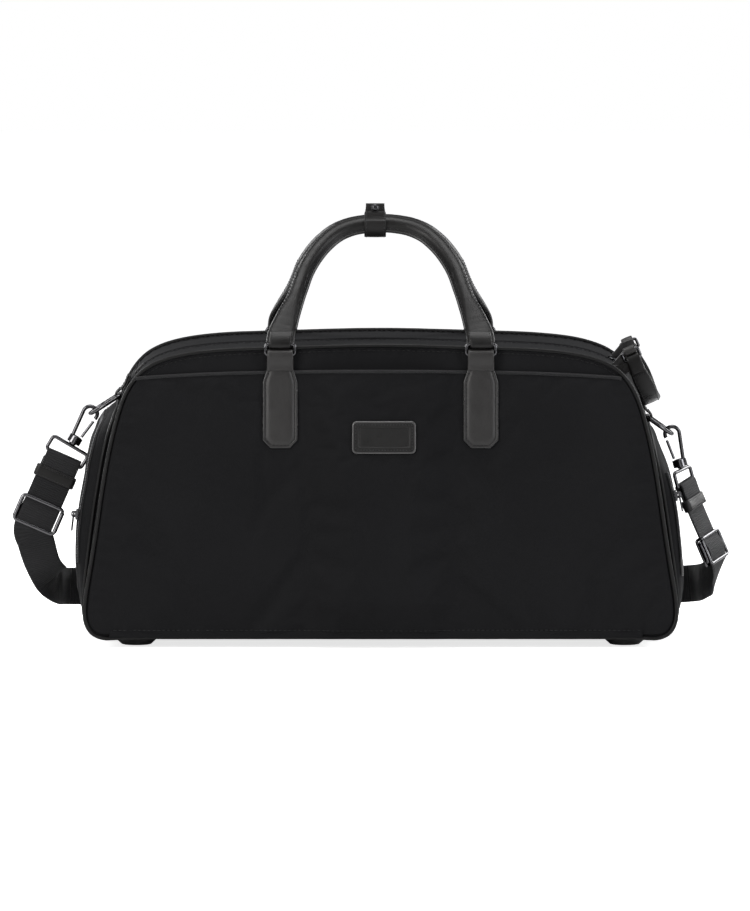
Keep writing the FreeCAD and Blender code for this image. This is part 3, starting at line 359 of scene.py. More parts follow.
def stitches(name, path, normals, mat, size, host, lift=0.12, closed=False, slant=0.0):
    """Row of thread stitches; size = (stitch length, gap, thread radius)."""
    length, gap, radius = size
    path = np.asarray(path, float)
    normals = np.broadcast_to(np.asarray(normals, float), path.shape)
    if closed:
        path, normals = np.vstack([path, path[:1]]), np.vstack([normals, normals[:1]])
    dist = run_length(path)
    count = max(1, int(dist[-1] / (length + gap)))
    verts, faces = [], []
    sides = 6
    for i in range(count):
        middle = (i + 0.5) * (dist[-1] / count)
        place, forward, normal, side = station(path, normals, dist, middle, length / 2)
        if slant:
            forward = unit(forward + slant * side)
            side = np.cross(normal, forward)
        base = len(verts)
        for x, full in STITCH_SHAPE:
            sink = -0.9 * radius * (abs(x) * 2) ** 3
            full = max(full, 0.15)
            for q in range(sides):
                a = 2 * math.pi * q / sides
                verts.append(place + forward * x * length
                             + normal * (math.sin(a) * radius * full + lift + sink)
                             + side * math.cos(a) * radius * full)
        faces += grid_faces(len(STITCH_SHAPE), sides, wrap_cols=True, flip=True, base=base)
        faces.append(tuple(base + q for q in reversed(range(sides))))
        faces.append(tuple(range(len(verts) - sides, len(verts))))
    add_mesh(name, verts, faces, mat, host)


def teeth(name, path, normals, host, pitch, across, along, high, lift, node=None):
    """Two interlocked rows of zipper teeth; each tooth is a bevelled block."""
    dist = run_length(path)
    count = int(dist[-1] / pitch)
    verts, faces = [], []
    for i in range(count):
        middle = (i + 0.5) * dist[-1] / count
        place, forward, normal, side = station(path, normals, dist, middle, 0.6)
        shift = 0.75 if i % 2 else -0.75
        base = len(verts)
        # levels of a tooth: share of length, of width and of height
        for a, b, h in ((0.5, 0.5, 0.0), (0.5, 0.5, 0.55), (0.40, 0.44, 0.85), (0.22, 0.36, 1.0)):
            for x, y in ((-1, -1), (1, -1), (1, 1), (-1, 1)):
                verts.append(place + forward * x * a * along + side * (shift + y * b * across)
                             + normal * (lift + h * high))
        faces += grid_faces(4, 4, wrap_cols=True, flip=True, base=base)
        faces.append(tuple(range(base + 12, base + 16)))
        faces.append((base + 3, base + 2, base + 1, base))
    add_mesh(name, verts, faces, TEETH, host, node=node, smooth=False)


def plate(name, loop, rows, place, mats, host, rim_rows=0, reach=3.0, top=None, relax=0,
          node=None):
    """Padded plate with rows of (inset, height); place(x, y, height) gives the point in mm.

    Rows inset past reach close up on a middle line, whose upper end is at top if given.  The
    first rim_rows rows take the second material.
    """
    loop = np.asarray(loop, float)
    count = len(loop)
    verts, uv = [], []
    low, high = loop.min(0), loop.max(0)
    half = min(high - low) / 2
    centre = (low + high) / 2
    far = np.maximum(high - half, centre)
    if top is not None:
        far[1] = top
    spine = np.clip(loop, np.minimum(low + half, centre), far)
    for inset, height in rows:
        if inset < reach:
            ring = inset_loop(loop, inset)
        else:
            ring = inset_loop(loop, reach)
            for _ in range(relax):      # unfolds the tight corners before the rows close up
                ring = ring * 0.5 + (np.roll(ring, 1, 0) + np.roll(ring, -1, 0)) * 0.25
            ring = ring + (spine - ring) * min((inset - reach) / max(half - reach, 0.1), 0.97)
        for x, y in ring:
            verts.append(place(x, y, height))
            uv.append((x, y))
    faces = grid_faces(len(rows), count, False, True)
    middle = loop.mean(0)
    last = (len(rows) - 1) * count
    verts.append(place(*middle, rows[-1][1]))
    faces += [(last + j, len(verts) - 1, last + (j + 1) % count) for j in range(count)]
    verts.append(place(*middle, rows[0][1]))
    faces += [(j, (j + 1) % count, len(verts) - 1) for j in range(count)]
    uv += [tuple(middle)] * 2
    piece = add_mesh(name, verts, faces, mats, host, node=node, uv=uv)
    fix_normals(piece)
    if rim_rows:
        for face in piece.data.polygons:
            if min(face.vertices) // count < rim_rows:
                face.material_index = 1


def lathe(name, centres, axis, profile, mat, host, sides, node=None):
    """Turned part with a profile of (radius, height along axis); one mesh for all centres."""
    axis = unit(axis)
    u = unit(np.cross(axis, [0.31, 0.9, 0.2]))
    w = np.cross(axis, u)
    verts, faces = [], []
    for centre in centres:
        faces += ring_faces(len(profile), sides, base=len(verts))
        for r, h in profile:
            for q in range(sides):
                t = 2 * math.pi * q / sides
                verts.append(np.asarray(centre, float) + axis * h
                             + (u * math.cos(t) + w * math.sin(t)) * max(r, 0.02))
    fix_normals(add_mesh(name, verts, faces, mat, host, node=node))


def sheet(name, outer, thick, mat, uv, inward, host, node=None):
    """Closed sheet from a grid of outer points, thickened towards the inward side."""
    outer = np.asarray(outer, float)
    nu, nv = outer.shape[:2]
    normal = np.cross(np.gradient(outer, axis=0), np.gradient(outer, axis=1))
    normal /= np.linalg.norm(normal, axis=2, keepdims=True) + 1e-12
    turn = np.sign(np.sum(normal * np.asarray(inward, float), axis=2, keepdims=True))
    turn[turn == 0] = 1
    inner = outer + normal * turn * thick
    base = nu * nv
    faces = grid_faces(nu, nv)
    faces += [tuple(i + base for i in reversed(f)) for f in grid_faces(nu, nv)]
    for i in range(nu - 1):
        for j in (0, nv - 1):
            a, b = i * nv + j, (i + 1) * nv + j
            faces.append((a, b, b + base, a + base))
    for j in range(nv - 1):
        for i in (0, nu - 1):
            a = i * nv + j
            faces.append((a, a + 1, a + 1 + base, a + base))
    uv = np.asarray(uv, float).reshape(-1, 2)
    verts = np.vstack([outer.reshape(-1, 3), inner.reshape(-1, 3)])
    fix_normals(add_mesh(name, verts, faces, mat, host, node=node, uv=np.vstack([uv, uv])))


def coons(bottom, top, left, right, nu, nv):
    """Grid filled between four edge functions of 0..1."""
    low, high = (np.array([edge(t) for t in np.linspace(0, 1, nu)]) for edge in (bottom, top))
    start, end = (np.array([edge(t) for t in np.linspace(0, 1, nv)]) for edge in (left, right))
    u, v = np.linspace(0, 1, nu)[:, None, None], np.linspace(0, 1, nv)[None, :, None]
    return ((1 - v) * low[:, None] + v * high[:, None] + (1 - u) * start[None] + u * end[None]
            - ((1 - u) * (1 - v) * low[0] + u * (1 - v) * low[-1]
               + (1 - u) * v * high[0] + u * v * high[-1]))


def border_pins(nu, nv):
    """Pin weights that hold the two outermost rows all round."""
    pins = np.ones((nu, nv))
    pins[2:-2, 2:-2] = 0
    return pins


def settle_cloth(name, grid, pins, pressure, limit, frames=20):
    """Run a cloth simulation on a grid of points and return them, none moved past limit mm."""
    nu, nv = grid.shape[:2]
    mesh = bpy.data.meshes.new(name + "_sim")
    mesh.from_pydata([tuple(p) for p in (grid.reshape(-1, 3) * MM)], [], grid_faces(nu, nv))
    piece = bpy.data.objects.new(name + "_sim", mesh)
    bpy.context.scene.collection.objects.link(piece)
    group = piece.vertex_groups.new(name="pin")
    weights = pins.reshape(-1)
    for i in np.nonzero(weights > 0)[0]:
        group.add([int(i)], float(weights[i]), "REPLACE")
    cloth = piece.modifiers.new("Cloth", "CLOTH")
    settings = cloth.settings
    settings.quality = 6
    settings.mass = 0.3
    settings.tension_stiffness = settings.compression_stiffness = 25
    settings.shear_stiffness = 12
    settings.bending_stiffness = 3
    settings.vertex_group_mass = "pin"
    settings.use_pressure = True
    settings.uniform_pressure_force = pressure
    settings.shrink_min = -0.012
    settings.effector_weights.gravity = 0.0
    cloth.point_cache.frame_start = 1
    cloth.point_cache.frame_end = frames
    scene = bpy.context.scene
    for f in range(1, frames + 1):
        scene.frame_set(f)
    evaluated = piece.evaluated_get(bpy.context.evaluated_depsgraph_get())
    result = evaluated.to_mesh()
    places = np.zeros(len(result.vertices) * 3)
    result.vertices.foreach_get("co", places)
    move = places.reshape(-1, 3) / MM - grid.reshape(-1, 3)
    evaluated.to_mesh_clear()
    bpy.data.objects.remove(piece)
    scene.frame_set(1)
    move[~np.isfinite(move).all(axis=1)] = 0
    length = np.linalg.norm(move, axis=1, keepdims=True)
    move = move * np.minimum(1, limit / np.maximum(length, 1e-9))
    return grid + move.reshape(grid.shape)


# ================================================================= shader helpers
class Tree:
    """Small helper to wire node trees; sizes in shaders are in metres."""

    def __init__(self, nodes):
        self.nodes = nodes

    def put(self, socket, value):
        if isinstance(value, bpy.types.NodeSocket):
            self.nodes.links.new(value, socket)
        else:
            socket.default_value = value

    def add(self, kind, inputs=None, **props):
        node = self.nodes.nodes.new(kind)
        for key, value in props.items():
            setattr(node, key, value)
        for key, value in (inputs or {}).items():
            self.put(node.inputs[key], value)
        return node

    def math(self, operation, *values):
        inputs = dict(enumerate(values))
        return self.add("ShaderNodeMath", inputs, operation=operation).outputs[0]

    def plus(self, a, b):
        return self.math("ADD", a, b)

    def times(self, a, factor):
        return self.math("MULTIPLY", a, factor)

    def mix(self, fac, a, b):
        """Blend of two colours, each a socket or an RGB tuple."""
        a, b = ((*c, 1) if isinstance(c, tuple) else c for c in (a, b))
        return self.add("ShaderNodeMix", {0: fac, 6: a, 7: b}, data_type="RGBA").outputs[2]

    def noise(self, vector, scale, detail=3.0, rough=0.5, output="Fac"):
        inputs = {"Scale": scale, "Detail": detail, "Roughness": rough, "Vector": vector}
        return self.add("ShaderNodeTexNoise", inputs).outputs[output]

    def remap(self, value, span, to=(0.0, 1.0)):
        return self.add("ShaderNodeMapRange", {
            "From Min": span[0], "From Max": span[1], "To Min": to[0], "To Max": to[1],
            "Value": value}).outputs[0]

    def bump(self, height, strength, distance, normal=None):
        inputs = {"Strength": strength, "Distance": distance, "Height": height}
        if normal is not None:
            inputs["Normal"] = normal
        return self.add("ShaderNodeBump", inputs).outputs[0]

    def object_place(self):
        return self.add("ShaderNodeTexCoord").outputs["Object"]

    def uv_parts(self):
        uv = self.add("ShaderNodeTexCoord").outputs["UV"]
        return self.add("ShaderNodeSeparateXYZ", {0: uv}).outputs[:2]

    def pointiness(self):
        return self.add("ShaderNodeNewGeometry").outputs["Pointiness"]


def principled(name, color, rough, metallic=0.0, specular=None, sheen=None, sheen_rough=None):
    """New material; returns it with its Tree and a function that sets or links an input."""
    mat = bpy.data.materials.new(name)
    mat.use_nodes = True
    tree = Tree(mat.node_tree)
    inputs = mat.node_tree.nodes["Principled BSDF"].inputs

    def feed(key, value):
        tree.put(inputs[key], value)
    feed("Base Color", (*color, 1))
    feed("Roughness", rough)
    feed("Metallic", metallic)
    for key, value in (("Specular IOR Level", specular), ("Sheen Weight", sheen),
                       ("Sheen Roughness", sheen_rough)):
        if value is not None:
            feed(key, value)
    return mat, tree, feed


def shade(color, gain, lift=0.0):
    return tuple(c * gain + lift for c in color)


# ================================================================= materials
def make_nylon(name, color, rough):
    """Plain-woven nylon: threads over and under, a soft sheen, faint large patches."""
    thread_pitch = 0.00085
    mat, t, feed = principled(name, color, rough, specular=0.055, sheen=0.008, sheen_rough=0.45)
    x, y = t.uv_parts()
    place = t.object_place()
    wobble = t.noise(place, scale=160.0, detail=2.0)

    def thread(coord):
        turns = t.times(coord, 2 * math.pi / thread_pitch)
        phase = t.plus(turns, t.times(wobble, 1.6))
        return t.math("SINE", t.times(phase, 0.5))
    warp, weft = thread(x), thread(y)
    over = t.math("MULTIPLY", warp, weft)
    weave = t.plus(t.times(t.math("ABSOLUTE", warp), 0.5), t.times(t.math("ABSOLUTE", weft), 0.5))
    height = t.plus(t.times(over, 0.6), weave)
    patches = t.noise(place, scale=9.0, detail=4.0)
    fibre = t.noise(place, scale=700.0, detail=3.0)
    height = t.plus(height, t.times(fibre, 0.35))
    # painted light and shade: the raised crossings of the weave are painted lighter and the sunken
    # ones darker, following the same height as the bump
    tone = t.mix(t.remap(over, span=(-1, 1)), shade(color, gain=0.72), shade(color, gain=1.45))
    tone = t.mix(t.remap(patches, span=(0.3, 0.7)), tone, shade(color, gain=1.25, lift=0.001))
    feed("Base Color", tone)
    feed("Roughness", t.remap(patches, span=(0.25, 0.75), to=(rough - 0.05, rough + 0.08)))
    feed("Sheen Tint", (0.5, 0.5, 0.55, 1))
    normal = t.bump(height, strength=0.65, distance=0.00012)
    swell = t.noise(place, scale=42.0, detail=3.0)
    feed("Normal", t.bump(swell, strength=0.12, distance=0.0012, normal=normal))
    return mat


def make_leather(name, color, rough, grain=1.0, spec=0.34, coat=0.05, wear=0.25):
    """Fine-grained leather: cells, pores, soft creases, paler on worn edges."""
    mat, t, feed = principled(name, color, rough, specular=spec)
    place = t.object_place()
    warp = t.noise(place, scale=220.0, detail=2.0, output="Color")
    warped = t.add("ShaderNodeVectorMath", {0: warp, 1: (0.0012, 0.0012, 0.0012), 2: place},
                   operation="MULTIPLY_ADD").outputs[0]
    cells = t.add("ShaderNodeTexVoronoi", feature="DISTANCE_TO_EDGE")
    t.put(cells.inputs["Scale"], 1150.0)
    t.put(cells.inputs["Vector"], warped)
    cell = t.remap(cells.outputs["Distance"], span=(0.0, 0.22))
    pore = t.noise(place, scale=2400.0, detail=2.0)
    crease = t.noise(place, scale=60.0, detail=5.0, rough=0.6)
    height = t.plus(t.times(cell, 0.7), t.times(pore, 0.3))
    patches = t.noise(place, scale=14.0, detail=3.0)
    # painted shade: the hollows at the cell edges are painted darker and the cell tops lighter,
    # following the grain's height
    tone = t.mix(t.remap(cell, span=(0, 1)), shade(color, gain=0.6), shade(color, gain=1.2))
    pale = t.remap(patches, span=(0.3, 0.75), to=(0.0, 0.6))
    tone = t.mix(pale, tone, shade(color, gain=1.5))
    worn = t.times(t.remap(t.pointiness(), span=(0.53, 0.62)), wear)
    feed("Base Color", t.mix(worn, tone, shade(color, gain=3.2, lift=0.01)))
    feed("Roughness", t.remap(crease, span=(0.3, 0.7), to=(rough - 0.08, rough + 0.10)))
    feed("Coat Weight", coat)
    feed("Coat Roughness", 0.28)
    normal = t.bump(height, strength=0.30 * grain, distance=0.00018)
    feed("Normal", t.bump(crease, strength=0.10 * grain, distance=0.0011, normal=normal))
    return mat


def make_metal(name, color, rough, metallic=1.0):
    """Fine-scratched metal, brighter on its edges."""
    mat, t, feed = principled(name, color, rough, metallic)
    place = t.object_place()
    scratch = t.noise(place, scale=900.0, detail=4.0)
    smudge = t.noise(place, scale=60.0, detail=3.0)
    feed("Roughness", t.plus(t.remap(scratch, span=(0.3, 0.75), to=(rough * 0.7, rough * 1.5)),
                             t.remap(smudge, span=(0.3, 0.8), to=(0.0, 0.06))))
    worn = t.remap(t.pointiness(), span=(0.52, 0.6), to=(0.0, 0.7))
    feed("Base Color", t.mix(worn, color, shade(color, gain=1.6)))
    feed("Normal", t.bump(scratch, strength=0.05, distance=0.0002))
    return mat


def make_webbing(name, color):
    """Ribbed nylon webbing; u runs across the width, v along it."""
    rib_pitch, warp_pitch = 0.0019, 0.0011
    mat, t, feed = principled(name, color, 0.6, specular=0.17, sheen=0.03, sheen_rough=0.4)
    x, y = t.uv_parts()
    place = t.object_place()
    rib = t.math("SINE", t.times(y, 2 * math.pi / rib_pitch))
    phase = t.plus(t.times(x, math.pi / warp_pitch), t.times(rib, 0.5))
    warp = t.math("ABSOLUTE", t.math("SINE", phase))
    height = t.plus(t.times(rib, 0.45), t.times(warp, 0.8))
    height = t.plus(height, t.times(t.noise(place, scale=900.0, detail=2.0), 0.3))
    # painted light and shade: the raised ribs and warp threads are painted lighter and the grooves
    # darker, following the bump height
    feed("Base Color", t.mix(t.remap(height, span=(-0.3, 1.3)),
                             shade(color, gain=0.55), shade(color, gain=1.7)))
    feed("Normal", t.bump(height, strength=0.8, distance=0.00028))
    feed("Roughness", t.remap(t.noise(place, scale=30.0), span=(0.3, 0.7), to=(0.52, 0.68)))
    return mat


def make_tape(name, color, pitch):
    """Herringbone zipper tape or ribbed binding."""
    zig_width = 0.0022
    mat, t, feed = principled(name, color, 0.6, specular=0.25, sheen=0.03)
    x, y = t.uv_parts()
    zig = t.math("PINGPONG", t.times(x, 1.0), zig_width)
    height = t.math("SINE", t.times(t.plus(y, zig), 2 * math.pi / pitch))
    height = t.plus(height, t.times(t.noise(t.object_place(), scale=1200.0, detail=2.0), 0.5))
    # painted light and shade: the raised ribs are painted lighter and the grooves between them
    # darker, following the bump height
    feed("Base Color", t.mix(t.remap(height, span=(-1, 1.4)),
                             shade(color, gain=0.6), shade(color, gain=1.5)))
    feed("Normal", t.bump(height, strength=0.7, distance=0.0002))
    return mat


def make_thread(name, color):
    mat, t, feed = principled(name, color, 0.5, specular=0.18, sheen=0.01)
    twist = t.add("ShaderNodeTexWave", wave_type="BANDS", bands_direction="DIAGONAL")
    for key, value in (("Scale", 900.0), ("Distortion", 1.0), ("Vector", t.object_place())):
        t.put(twist.inputs[key], value)
    strand = twist.outputs["Fac"]
    feed("Normal", t.bump(strand, strength=0.6, distance=0.00012))
    # painted light and shade: the crest of each twisted strand is painted lighter and the groove
    # between strands darker
    feed("Base Color", t.mix(strand, shade(color, gain=0.7), shade(color, gain=1.4)))
    return mat


def make_rubber(name, color):
    mat, t, feed = principled(name, color, 0.55)
    place = t.object_place()
    grit = t.noise(place, scale=1500.0, detail=2.0)
    dust = t.noise(place, scale=80.0, detail=4.0)
    feed("Base Color", t.mix(t.remap(dust, span=(0.4, 0.7)), color, shade(color, gain=2.0)))
    feed("Roughness", t.remap(dust, span=(0.3, 0.7), to=(0.45, 0.7)))
    feed("Normal", t.bump(grit, strength=0.25, distance=0.0002))
    return mat


NYLON = make_nylon("nylon_shell", (0.0054, 0.0054, 0.0059), rough=0.68)
NYLON_FLAT = make_nylon("nylon_sleeve", (0.0052, 0.0052, 0.0057), rough=0.70)
BINDING = make_tape("binding_tape", (0.0072, 0.0072, 0.0079), pitch=0.0009)
PIPING = make_leather("piping_leather", (0.0055, 0.0054, 0.0055), rough=0.42, grain=0.6,
                      spec=0.14, coat=0.02, wear=0.12)
LEATHER = make_leather("handle_leather", (0.0060, 0.0057, 0.0056), rough=0.33, spec=0.19,
                       coat=0.04)
LEATHER_TAB = make_leather("tab_leather", (0.0135, 0.0126, 0.0124), rough=0.42, coat=0.03)
LEATHER_DARK = make_leather("trim_leather", (0.0080, 0.0076, 0.0075), rough=0.40, spec=0.19,
                            coat=0.03)
EDGE = make_leather("painted_edge", (0.0085, 0.0081, 0.0081), rough=0.26, grain=0.25,
                    coat=0.28, wear=0.4)
# patch rim: its colour is painted four times lighter than the patch leather, a painted highlight
# along the glossy rim; its real gloss comes from the coat
PATCH_RIM_PAINTED_HIGHLIGHT = make_leather("patch_rim", (0.030, 0.029, 0.029), rough=0.22, grain=0.25,
                         coat=0.85, wear=0.8)
PATCH = make_leather("patch_leather", (0.0075, 0.0072, 0.0071), rough=0.45, spec=0.22, coat=0.02)
METAL = make_metal("dark_nickel", (0.085, 0.084, 0.088), rough=0.13)
METAL_ZIP = make_metal("zip_metal", (0.06, 0.06, 0.063), rough=0.2)
TEETH = make_metal("zip_teeth", (0.10, 0.10, 0.104), rough=0.34, metallic=0.35)
TAPE = make_tape("zip_tape", (0.011, 0.011, 0.012), pitch=0.0011)
WEB = make_webbing("strap_web", (0.0095, 0.0095, 0.0103))
THREAD = make_thread("thread", (0.022, 0.022, 0.0235))
THREAD_DARK = make_thread("thread_dark", (0.009, 0.009, 0.0095))
RUBBER = make_rubber("foot_rubber", (0.016, 0.016, 0.016))

# ================================================================= outline of the bag
FLOOR_Z = 9.0
SEAM_Z = 8.0                    # height where the panels have their full depth
CROWN_Z = 259.5
HALF_DEPTH = 115.0              # half depth of the bag at SEAM_Z
TOP_LEAN_IN = 23.0              # how far each panel leans in between SEAM_Z and the crown
# (half width, height) up one side of the bag; the leads only steer the spline's ends
LEADS = [(148, 9), (198, 9), (224, 9)]
FLANK = [(238, 9), (249, 13), (254.4, 22), (255.2, 36), (251, 65), (244, 110), (236, 160),
         (228, 195), (218, 222), (205, 238), (185, 248), (150, 254.5), (87, 257.5)]

LEAN = math.atan2(TOP_LEAN_IN, CROWN_Z - SEAM_Z)
COS_LEAN, SIN_LEAN, TAN_LEAN = math.cos(LEAN), math.sin(LEAN), math.tan(LEAN)
REAR_NORMAL = np.array([0, -COS_LEAN, SIN_LEAN])


def natural_spline(knots):
    """Natural cubic spline; returns its function of chord length and the knots' lengths."""
    dist = run_length(knots)
    n = len(knots)
    gaps = np.diff(dist)
    system, right = np.zeros((n, n)), np.zeros_like(knots)
    system[0, 0] = system[-1, -1] = 1
    for i in range(1, n - 1):
        system[i, i - 1:i + 2] = gaps[i - 1], 2 * (gaps[i - 1] + gaps[i]), gaps[i]
        right[i] = 6 * ((knots[i + 1] - knots[i]) / gaps[i]
                        - (knots[i] - knots[i - 1]) / gaps[i - 1])
    bend = np.linalg.solve(system, right)

    def evaluate(s):
        i = np.clip(np.searchsorted(dist, s, "right") - 1, 0, n - 2)
        gap = gaps[i][:, None]
        a = ((dist[i + 1] - s)[:, None]) / gap
        b = 1 - a
        curve = ((a ** 3 - a) * bend[i] + (b ** 3 - b) * bend[i + 1]) * gap ** 2 / 6
        return a * knots[i] + b * knots[i + 1] + curve
    return evaluate, dist


left_flank = [(-x, z) for x, z in LEADS + FLANK]
spline, knot_dist = natural_spline(np.array(left_flank + [(0.0, CROWN_Z)] + mirrored(left_flank)))
OUTLINE = spline(np.linspace(knot_dist[len(LEADS)], knot_dist[-1 - len(LEADS)], 4001))
ARC = run_length(OUTLINE)
TOTAL = ARC[-1]
outline_run = np.gradient(OUTLINE, axis=0)
outline_run /= np.linalg.norm(outline_run, axis=1, keepdims=True)
OUTWARD = np.stack([-outline_run[:, 1], outline_run[:, 0]], 1)


def outline_normal(s):
    n = at_length(OUTWARD, ARC, s)
    return n / np.linalg.norm(n)


def outline(s, off=0.0):
    """(x, z) at arc length s, pushed out by off; s runs from bottom left over the top."""
    return at_length(OUTLINE, ARC, s) + outline_normal(s) * off


def wall_point(s, y, off=0.0):
    """Point of the long wall round the bag."""
    x, z = outline(s, off)
    return np.array([x, y, z])


def wall_normal(s):
    x, z = outline_normal(s)
    return np.array([x, 0, z])


def s_at(z):
    """Arc length where the left flank reaches height z."""
    return ARC[np.argmax((OUTLINE[:, 1] >= z) & (ARC > 4))]


def half_depth(z):
    """Half depth of the bag at height z."""
    return HALF_DEPTH - (z - SEAM_Z) * TAN_LEAN


def panel_point(x, out, rise):
    """Point of the rear panel's frame: x across, out from the bag, rise up the panel."""
    return np.array([x, -HALF_DEPTH - out * COS_LEAN + rise * SIN_LEAN,
                     SEAM_Z + rise * COS_LEAN + out * SIN_LEAN])


def rise_at(z):
    """Distance up the leaning panel at height z."""
    return (z - SEAM_Z) / COS_LEAN


S_SHOULDER = s_at(236.0)                # where the side of a panel turns into its top
S_END = s_at(229.0)                     # where the end panels stop and the top gusset begins
S_HEEL = s_at(24.0)


# ================================================================= body shells
def body_panel(facing, side, seed, crown, wave):
    """Rear or front panel; crown is its bulge, wave the size of its unevenness."""
    nu, nv, gap = 150, 92, 0.4
    bottom = outline(0.0, -gap), outline(TOTAL, -gap)
    grid = coons(lambda u: bottom[0] + (bottom[1] - bottom[0]) * u,
                 lambda u: outline(S_SHOULDER + (TOTAL - 2 * S_SHOULDER) * u, -gap),
                 lambda v: outline(S_SHOULDER * v, -gap),
                 lambda v: outline(TOTAL - S_SHOULDER * v, -gap), nu, nv)
    shell = np.zeros((nu, nv, 3))
    for i, u in enumerate(np.linspace(0, 1, nu)):
        for j, v in enumerate(np.linspace(0, 1, nv)):
            x, z = grid[i, j]
            from_side, from_end = min(u, 1 - u) * 480, min(v, 1 - v) * 245
            edge = min(from_side, from_end)
            free = from_seam(edge, reach=26.0, power=1.2)
            broad = unevenness((x, z, 5), scale=120.0, seed=seed)
            small = unevenness((x, z * 0.6, 9), scale=38.0, seed=seed + 3, octaves=2)
            out = crown * free + free * (wave * 1.4 * broad + wave * 0.45 * small)
            if edge < 22:
                flank_s = S_SHOULDER * v if u < 0.5 else -S_SHOULDER * v
                s = flank_s if from_side < from_end else x
                out += pucker(s, 0.28, 10.5, seed) * bell(edge, middle=7, width=6.5)
            shell[i, j] = panel_point(x, out, rise_at(z))
    shell[..., 1] *= -facing
    if facing > 0:
        pins = border_pins(nu, nv)
        under_tabs = (np.abs(np.abs(grid[..., 0]) - TAB_X) < 17) & (grid[..., 1] > 160)
        pins[under_tabs] = 1
        shell = settle_cloth(side + "_shell", shell, pins, pressure=4.0, limit=5.0)
        y = shell[..., 1]
        if y.max() > 119.5:             # flatten a bulge that swells too far
            shell[..., 1] = np.where(y > 116.5, 116.5 + (y - 116.5) * 0.5, y)
    sheet(side + "_shell", shell, 2.4, NYLON, grid, (0, -facing, 0), ON_SHELL,
          node=side + "_panel")


TAB_X = 87.0                            # the four handle tabs sit at +-TAB_X
body_panel(-1, "rear", seed=1.7, crown=0.7, wave=0.55)
body_panel(1, "front", seed=8.3, crown=2.4, wave=1.25)


def wall_strip(s_from, s_to, y_from, y_to, seed, count_s, count_y, crown, sag=0.0):
    """Strip of the long wall; y runs from y_from(z) to y_to(z).  Returns points and UVs."""
    points = np.zeros((count_s, count_y, 3))
    uv = np.zeros((count_s, count_y, 2))
    for i, s in enumerate(np.linspace(s_from, s_to, count_s)):
        z = outline(s)[1]
        y0, y1 = y_from(z), y_to(z)
        for j, t in enumerate(np.linspace(0, 1, count_y)):
            y = y0 + (y1 - y0) * t
            edge = min(t, 1 - t) * abs(y1 - y0)
            bulge = 0.55 * unevenness((s, y, 0), scale=55.0, seed=seed) + crown
            off = from_seam(edge, reach=16.0, power=1.3) * bulge - sag * math.sin(math.pi * t)
            off += pucker(s, 0.28, 9.0, seed) * bell(edge, middle=6, width=5.0)
            points[i, j] = wall_point(s, y, off)
            uv[i, j] = (s, y)
    return points, uv


for facing, side in FACES:
    points, uv = wall_strip(S_END, TOTAL - S_END, lambda z: facing * 7.0,
                            lambda z: facing * (half_depth(z) + 0.2), seed=3 + facing,
                            count_s=240, count_y=26, crown=0.5, sag=0.5)
    sheet("gusset_%s_cloth" % side, points, 2.2, NYLON, uv, (0, 0, -1), ON_SHELL,
          node="top_gusset_" + side)

for sign, side in SIDES:
    s_range = (S_HEEL, S_END) if sign < 0 else (TOTAL - S_END, TOTAL - S_HEEL)
    points, uv = wall_strip(*s_range, lambda z: -(half_depth(z) + 0.2),
                            lambda z: half_depth(z) + 0.2, seed=11 + sign,
                            count_s=110, count_y=90, crown=0.6)
    name = "end_%s_cloth" % side
    points = settle_cloth(name, points, border_pins(110, 90), pressure=2.0, limit=1.5)
    sheet(name, points, 2.2, NYLON, uv, (-sign, 0, 0), ON_SHELL, node=side + "_end_panel")


def base_cloth():
    """Heel curve, flat floor, heel curve."""
    heel = np.linspace(S_HEEL, 0, 14)
    path = [outline(s) for s in heel]
    path += [np.array([x, FLOOR_Z]) for x in np.linspace(-237, 237, 90)]
    path = np.array(path + [outline(TOTAL - s) for s in heel[::-1]])
    run = np.gradient(path, axis=0)
    run /= np.linalg.norm(run, axis=1, keepdims=True)
    dist = run_length(path)
    points = np.zeros((len(path), 60, 3))
    uv = np.zeros((len(path), 60, 2))
    for i, (x, z) in enumerate(path):
        depth = half_depth(z) + 0.2
        for j in range(60):
            y = -depth + 2 * depth * j / 59
            off = 0.35 * unevenness((x, y, 0), scale=70.0, seed=5, octaves=2)
            off *= from_seam(min(j, 59 - j), reach=5.0, power=2)
            points[i, j] = (x + run[i, 1] * off, y, z - run[i, 0] * off)
            uv[i, j] = (dist[i], y)
    sheet("base_cloth", points, 2.4, NYLON, uv, (0, 0, 1), ON_SHELL, node="base_panel")


base_cloth()


# ================================================================= piping and panel seams
SEAM_STITCH = (3.0, 1.3, 0.34)          # length, gap, thread radius


def outline_loop(off, facing, proud):
    """Loop round a panel, off outside its outline and proud of its edge in depth."""
    loop = [outline(s, off) for s in np.arange(0, TOTAL, 3.0)] + [outline(TOTAL, off)]
    for x in np.arange(236, -237, -3.0):
        tuck = min(max(off, 0), 1.6) * float(smoothstep(0, 26, 238 - abs(x)))
        loop.append(np.array([x, FLOOR_Z - off + tuck]))
    return np.array([[x, facing * (half_depth(z) + proud), z] for x, z in loop])[::2]


def wall_stitches(name, lengths, facing):
    """Row on the long wall beside the piping."""
    row = [wall_point(s, facing * (half_depth(outline(s)[1]) - 4.2), 0.3) for s in lengths]
    stitches(name, row, [wall_normal(s) for s in lengths], THREAD_DARK, SEAM_STITCH, ON_SHELL)


